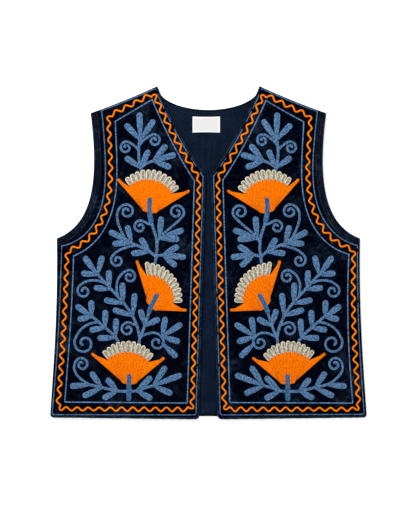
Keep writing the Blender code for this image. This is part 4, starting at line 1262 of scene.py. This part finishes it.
TUFTS = (
    Tuft("top", 112.3, 186.0, ((-43, 32), (-2, 41), (34, 36))),
    Tuft("top", 112.3, 140.2, ((-54, 26), (25, 28))),
    Tuft("top", 91.3, 151.9, ((40, 30), (74, 34), (111, 27))),
    Tuft("upper", 126.7, 16.3, ((-63, 37), (-15, 25), (-93, 27))),
    Tuft("upper", 96.8, 1.5, ((-35, 23), (-95, 26))),
    Tuft("upper", 80.9, 23.4, ((5, 32), (70, 38), (92, 28))),
    Tuft("upper", 75.7, -3.5, ((61, 26), (96, 34), (130, 25))),
    Tuft("middle", 104.4, -120.9, ((-17, 24), (63, 22))),
    Tuft("middle", 76.5, -138.5, ((10, 28), (57, 34), (107, 26))),
    Tuft("middle", 75.7, -150.0, ((134, 28),)),
    Tuft("middle", 124.8, -104.5, ((5, 33), (-72, 30))),
    Tuft("middle", 140.9, -84.0, ((-2, 30), (-79, 27))),
    Tuft("middle", 163.6, -60.7, ((-2, 27), (-83, 21))),
    Tuft("middle", 183.5, -36.5, ((15, 28), (-36, 33), (-84, 22))),
    Tuft("side", 153.5, -140.5, ((2, 27), (-91, 25))),
    Tuft("side", 171.0, -124.3, ((2, 25), (-98, 21))),
    Tuft("side", 192.7, -106.0, ((-2, 23), (-54, 28), (-100, 19))),
    Tuft("base", 149.9, -228.2, ((-42, 23), (-118, 23))),
    Tuft("base", 176.0, -223.0, ((-35, 27), (-115, 30))),
    Tuft("base", 196.1, -218.4, ((-94, 28),)),
    Tuft("base", 118.2, -228.2, ((46, 29), (119, 24))),
    Tuft("base", 91.7, -219.8, ((34, 34), (69, 46), (113, 30))),
)
Tendril = namedtuple("Tendril", "spray start centre radius entry reach turns clock")
TENDRILS = (
    Tendril("top", (114.7, 176.6), (89.5, 185.6), 10.3, 60, 16.0, 1.25, 1),
    Tendril("top", (115.5, 169.0), (136.0, 173.8), 10.2, -60, 14.0, 1.25, -1),
    Tendril("upper", (139.0, 26.0), (135.1, 68.3), 11.8, 60, 24.0, 1.25, 1),
    Tendril("upper", (93.1, 46.3), (112.9, 42.8), 10.6, -60, 10.0, 1.2, -1),
    Tendril("upper", (76.5, 30.0), (52.5, 67.1), 12.3, 20, 7.0, 1.25, -1),
    Tendril("upper", (121.8, 11.5), (150.5, -12.5), 10.6, -150, 17.0, 1.1, -1),
    Tendril("middle", (118.2, -119.9), (133.3, -126.5), 11.6, -60, 8.0, 1.2, -1),
    Tendril("middle", (112.0, -139.5), (85.1, -148.4), 11.5, 150, 22.0, 1.1, 1),
    Tendril("middle", (148.5, -74.5), (130.5, -39.6), 11.0, 60, 26.0, 1.2, 1),
    Tendril("middle", (171.0, -50.0), (205.7, -63.3), 11.3, -135, 23.0, 1.1, -1),
    Tendril("side", (181.0, -114.5), (205.1, -149.4), 16.5, -160, 29.0, 1.15, -1),
    Tendril("base", (198.5, -217.0), (209.1, -184.7), 11.3, 30, 23.0, 1.2, 1),
)
DEEP_BLUE = chain_finish("deep_blue_chain_stitch", (0.060, 0.160, 0.320), (0.30, 0.35, 0.40), 1.25)


def smooth_route(points):
    """A Catmull-Rom curve through the route's points, then evened out to SPINE_STEP."""
    p = np.array(points, float)
    p = np.vstack([2 * p[0] - p[1], p, 2 * p[-1] - p[-2]])
    t = np.linspace(0, 1, 12, endpoint=False)[:, None]
    found = []
    for a, b, c, d in zip(p, p[1:], p[2:], p[3:]):
        bend = (2 * a - 5 * b + 4 * c - d) * t**2 + (3 * b - a - 3 * c + d) * t**3
        found.append((2 * b + (c - a) * t + bend) / 2)
    return evened(np.vstack([*found, p[-2:-1]]))


def evened(line):
    """The line with even steps of about SPINE_STEP."""
    return at(line, np.linspace(0, 1, max(3, round(shares_of(line)[1] / SPINE_STEP) + 1)))


def leaf_pad(tuft, heading, length, side):
    """A leaf: half its width at its root, its whole width from its middle on, and a round end."""
    root = np.array((tuft.across, tuft.up))
    spine = evened(np.array([root, root + along(heading) * length]))
    share = np.clip(np.linspace(0, 1, len(spine)) / 0.70, 0, 1)
    half = LEAF_WIDTH / 2 * (LEAF_ROOT + (1 - LEAF_ROOT) * eased(share))
    return pad(spine, half, 2.5, side)


def tendril_pad(t, side):
    """A tendril: a Bezier lead, then a spiral whose radius shrinks by a power of the share wound."""
    share = np.linspace(0, 1, 60)
    radius = t.radius * (1 - SPIRAL_SHRINK * share**SPIRAL_EASE)
    heading = np.radians(t.entry + t.clock * share * t.turns * 360)
    spiral = t.centre + t.clock * radius[:, None] * np.stack([np.cos(heading), np.sin(heading)], axis=1)
    lead = bezier((t.start, spiral[0] - along(t.entry) * t.reach, spiral[0]), 16)
    spine = evened(np.vstack([lead[:-1], spiral]))
    swell = np.clip((np.linspace(0, 1, len(spine)) - 0.9) / 0.1, 0, 1)
    return pad(spine, TENDRIL_WIDTH / 2 * (1 + 0.16 * swell), 1.5, side, CHAIN_RISE * 0.95)


def clear_of_petals(points):
    """1 on open ground, falling below 0 where a flower's petals lie, so that a stem dips under them."""
    room = np.ones(len(points))
    for flower in FLOWERS:
        local = in_flower(flower, points) - flower.petal_arc[:2]
        depth = flower.petal_arc[2] - 0.6 - np.linalg.norm(local, axis=1)
        turn = np.degrees(np.abs(np.arctan2(local[:, 0], local[:, 1])))
        below = np.minimum(room, 1 - np.clip(depth / 1.5, 0, 1.6))
        room = np.where(turn < flower.petal_arc[3] + 5, below, room)
    return room


for side in SIDES:
    for spray in dict.fromkeys(stem.spray for stem in STEMS):
        pads = [leaf_pad(t, *one, side) for t in TUFTS if t.spray == spray for one in t.leaves]
        pads += [tendril_pad(t, side) for t in TENDRILS if t.spray == spray]
        for stem in STEMS:
            if stem.spray == spray:
                route = smooth_route(stem.route)
                pads.append(pad(route, STEM_WIDTH / 2, 1.5, side, CHAIN_RISE * 0.9, clear_of_petals))
        sewn_on(side, f"leaf_rows_{spray}", pads, BLUE, f"leaves_{spray}")
    for spray, tab in zip(TAB_SPRAYS, TABS):
        tab_pad = pad(smooth_route(tab), TAB_WIDTH / 2, 2.5, side, CHAIN_RISE * 1.25)
        sewn_on(side, f"stem_tab_{spray}", [tab_pad], DEEP_BLUE)

# The size that the fronts, the back and the lining were cut to, and their areas, worked out from their plans.


def cut_size(plan):
    """Width and length of a plan, in metres."""
    low, high = plan.reshape(-1, 2).min(0), plan.reshape(-1, 2).max(0)
    return tuple(float(x) for x in (high - low) * MM)


for side in SIDES:
    cut_size(front_plan)
    area_of(front_plan)
cut_size(back_plan)
area_of(back_plan)
cut_size(lining_plan)
area_of(lining_plan)

# The surroundings: a plain white table, a large soft light over it from the upper left, a weak one from the
# right, white all round, and the camera straight above.

TABLE_HALF = 12.0
TABLE_DROP = 0.0004
SKY_STRENGTH = 0.38
VIEW_HEIGHT = 0.8611
VIEW_CENTRE = (-0.00066, -0.0120)
CAMERA_HEIGHT = 3.6

table_mesh = bpy.data.meshes.new("floor")
corners = [(x * TABLE_HALF, y * TABLE_HALF, -TABLE_DROP) for x, y in ((-1, -1), (1, -1), (1, 1), (-1, 1))]
table_mesh.from_pydata(corners, [], [(0, 1, 2, 3)])
table_finish = Finish("white_table", Roughness=0.8, Specular_IOR_Level=0.2, Emission_Strength=0.45)
table_finish.shader.inputs["Base Color"].default_value = (0.93, 0.93, 0.93, 1)
table_finish.shader.inputs["Emission Color"].default_value = (1, 1, 1, 1)
table_mesh.materials.append(table_finish.material)
floor = in_scene("floor", table_mesh)


def soft_light(name, place, size, power):
    """A square area light, aimed at the middle of the vest."""
    lamp = bpy.data.lights.new(name, "AREA")
    lamp.size = size
    lamp.energy = power
    made = in_scene(name, lamp)
    made.location = place
    made.rotation_euler = made.location.to_track_quat("Z", "Y").to_euler()


soft_light("window_light", (-1.4, 1.6, 1.9), 1.1, 92.0)
soft_light("fill_light", (1.7, -1.2, 2.2), 1.6, 28.0)
world = bpy.data.worlds.new("white_room")
world.use_nodes = True
sky = world.node_tree.nodes["Background"].inputs
sky["Color"].default_value = (1, 1, 1, 1)
sky["Strength"].default_value = SKY_STRENGTH
bpy.context.scene.world = world
bpy.context.scene.view_settings.view_transform = "Standard"

lens = bpy.data.cameras.new("camera")
lens.sensor_width = 36.0
lens.lens = lens.sensor_width * CAMERA_HEIGHT / VIEW_HEIGHT
camera = in_scene("camera", lens)
camera.location = (*VIEW_CENTRE, CAMERA_HEIGHT)
bpy.context.scene.camera = camera
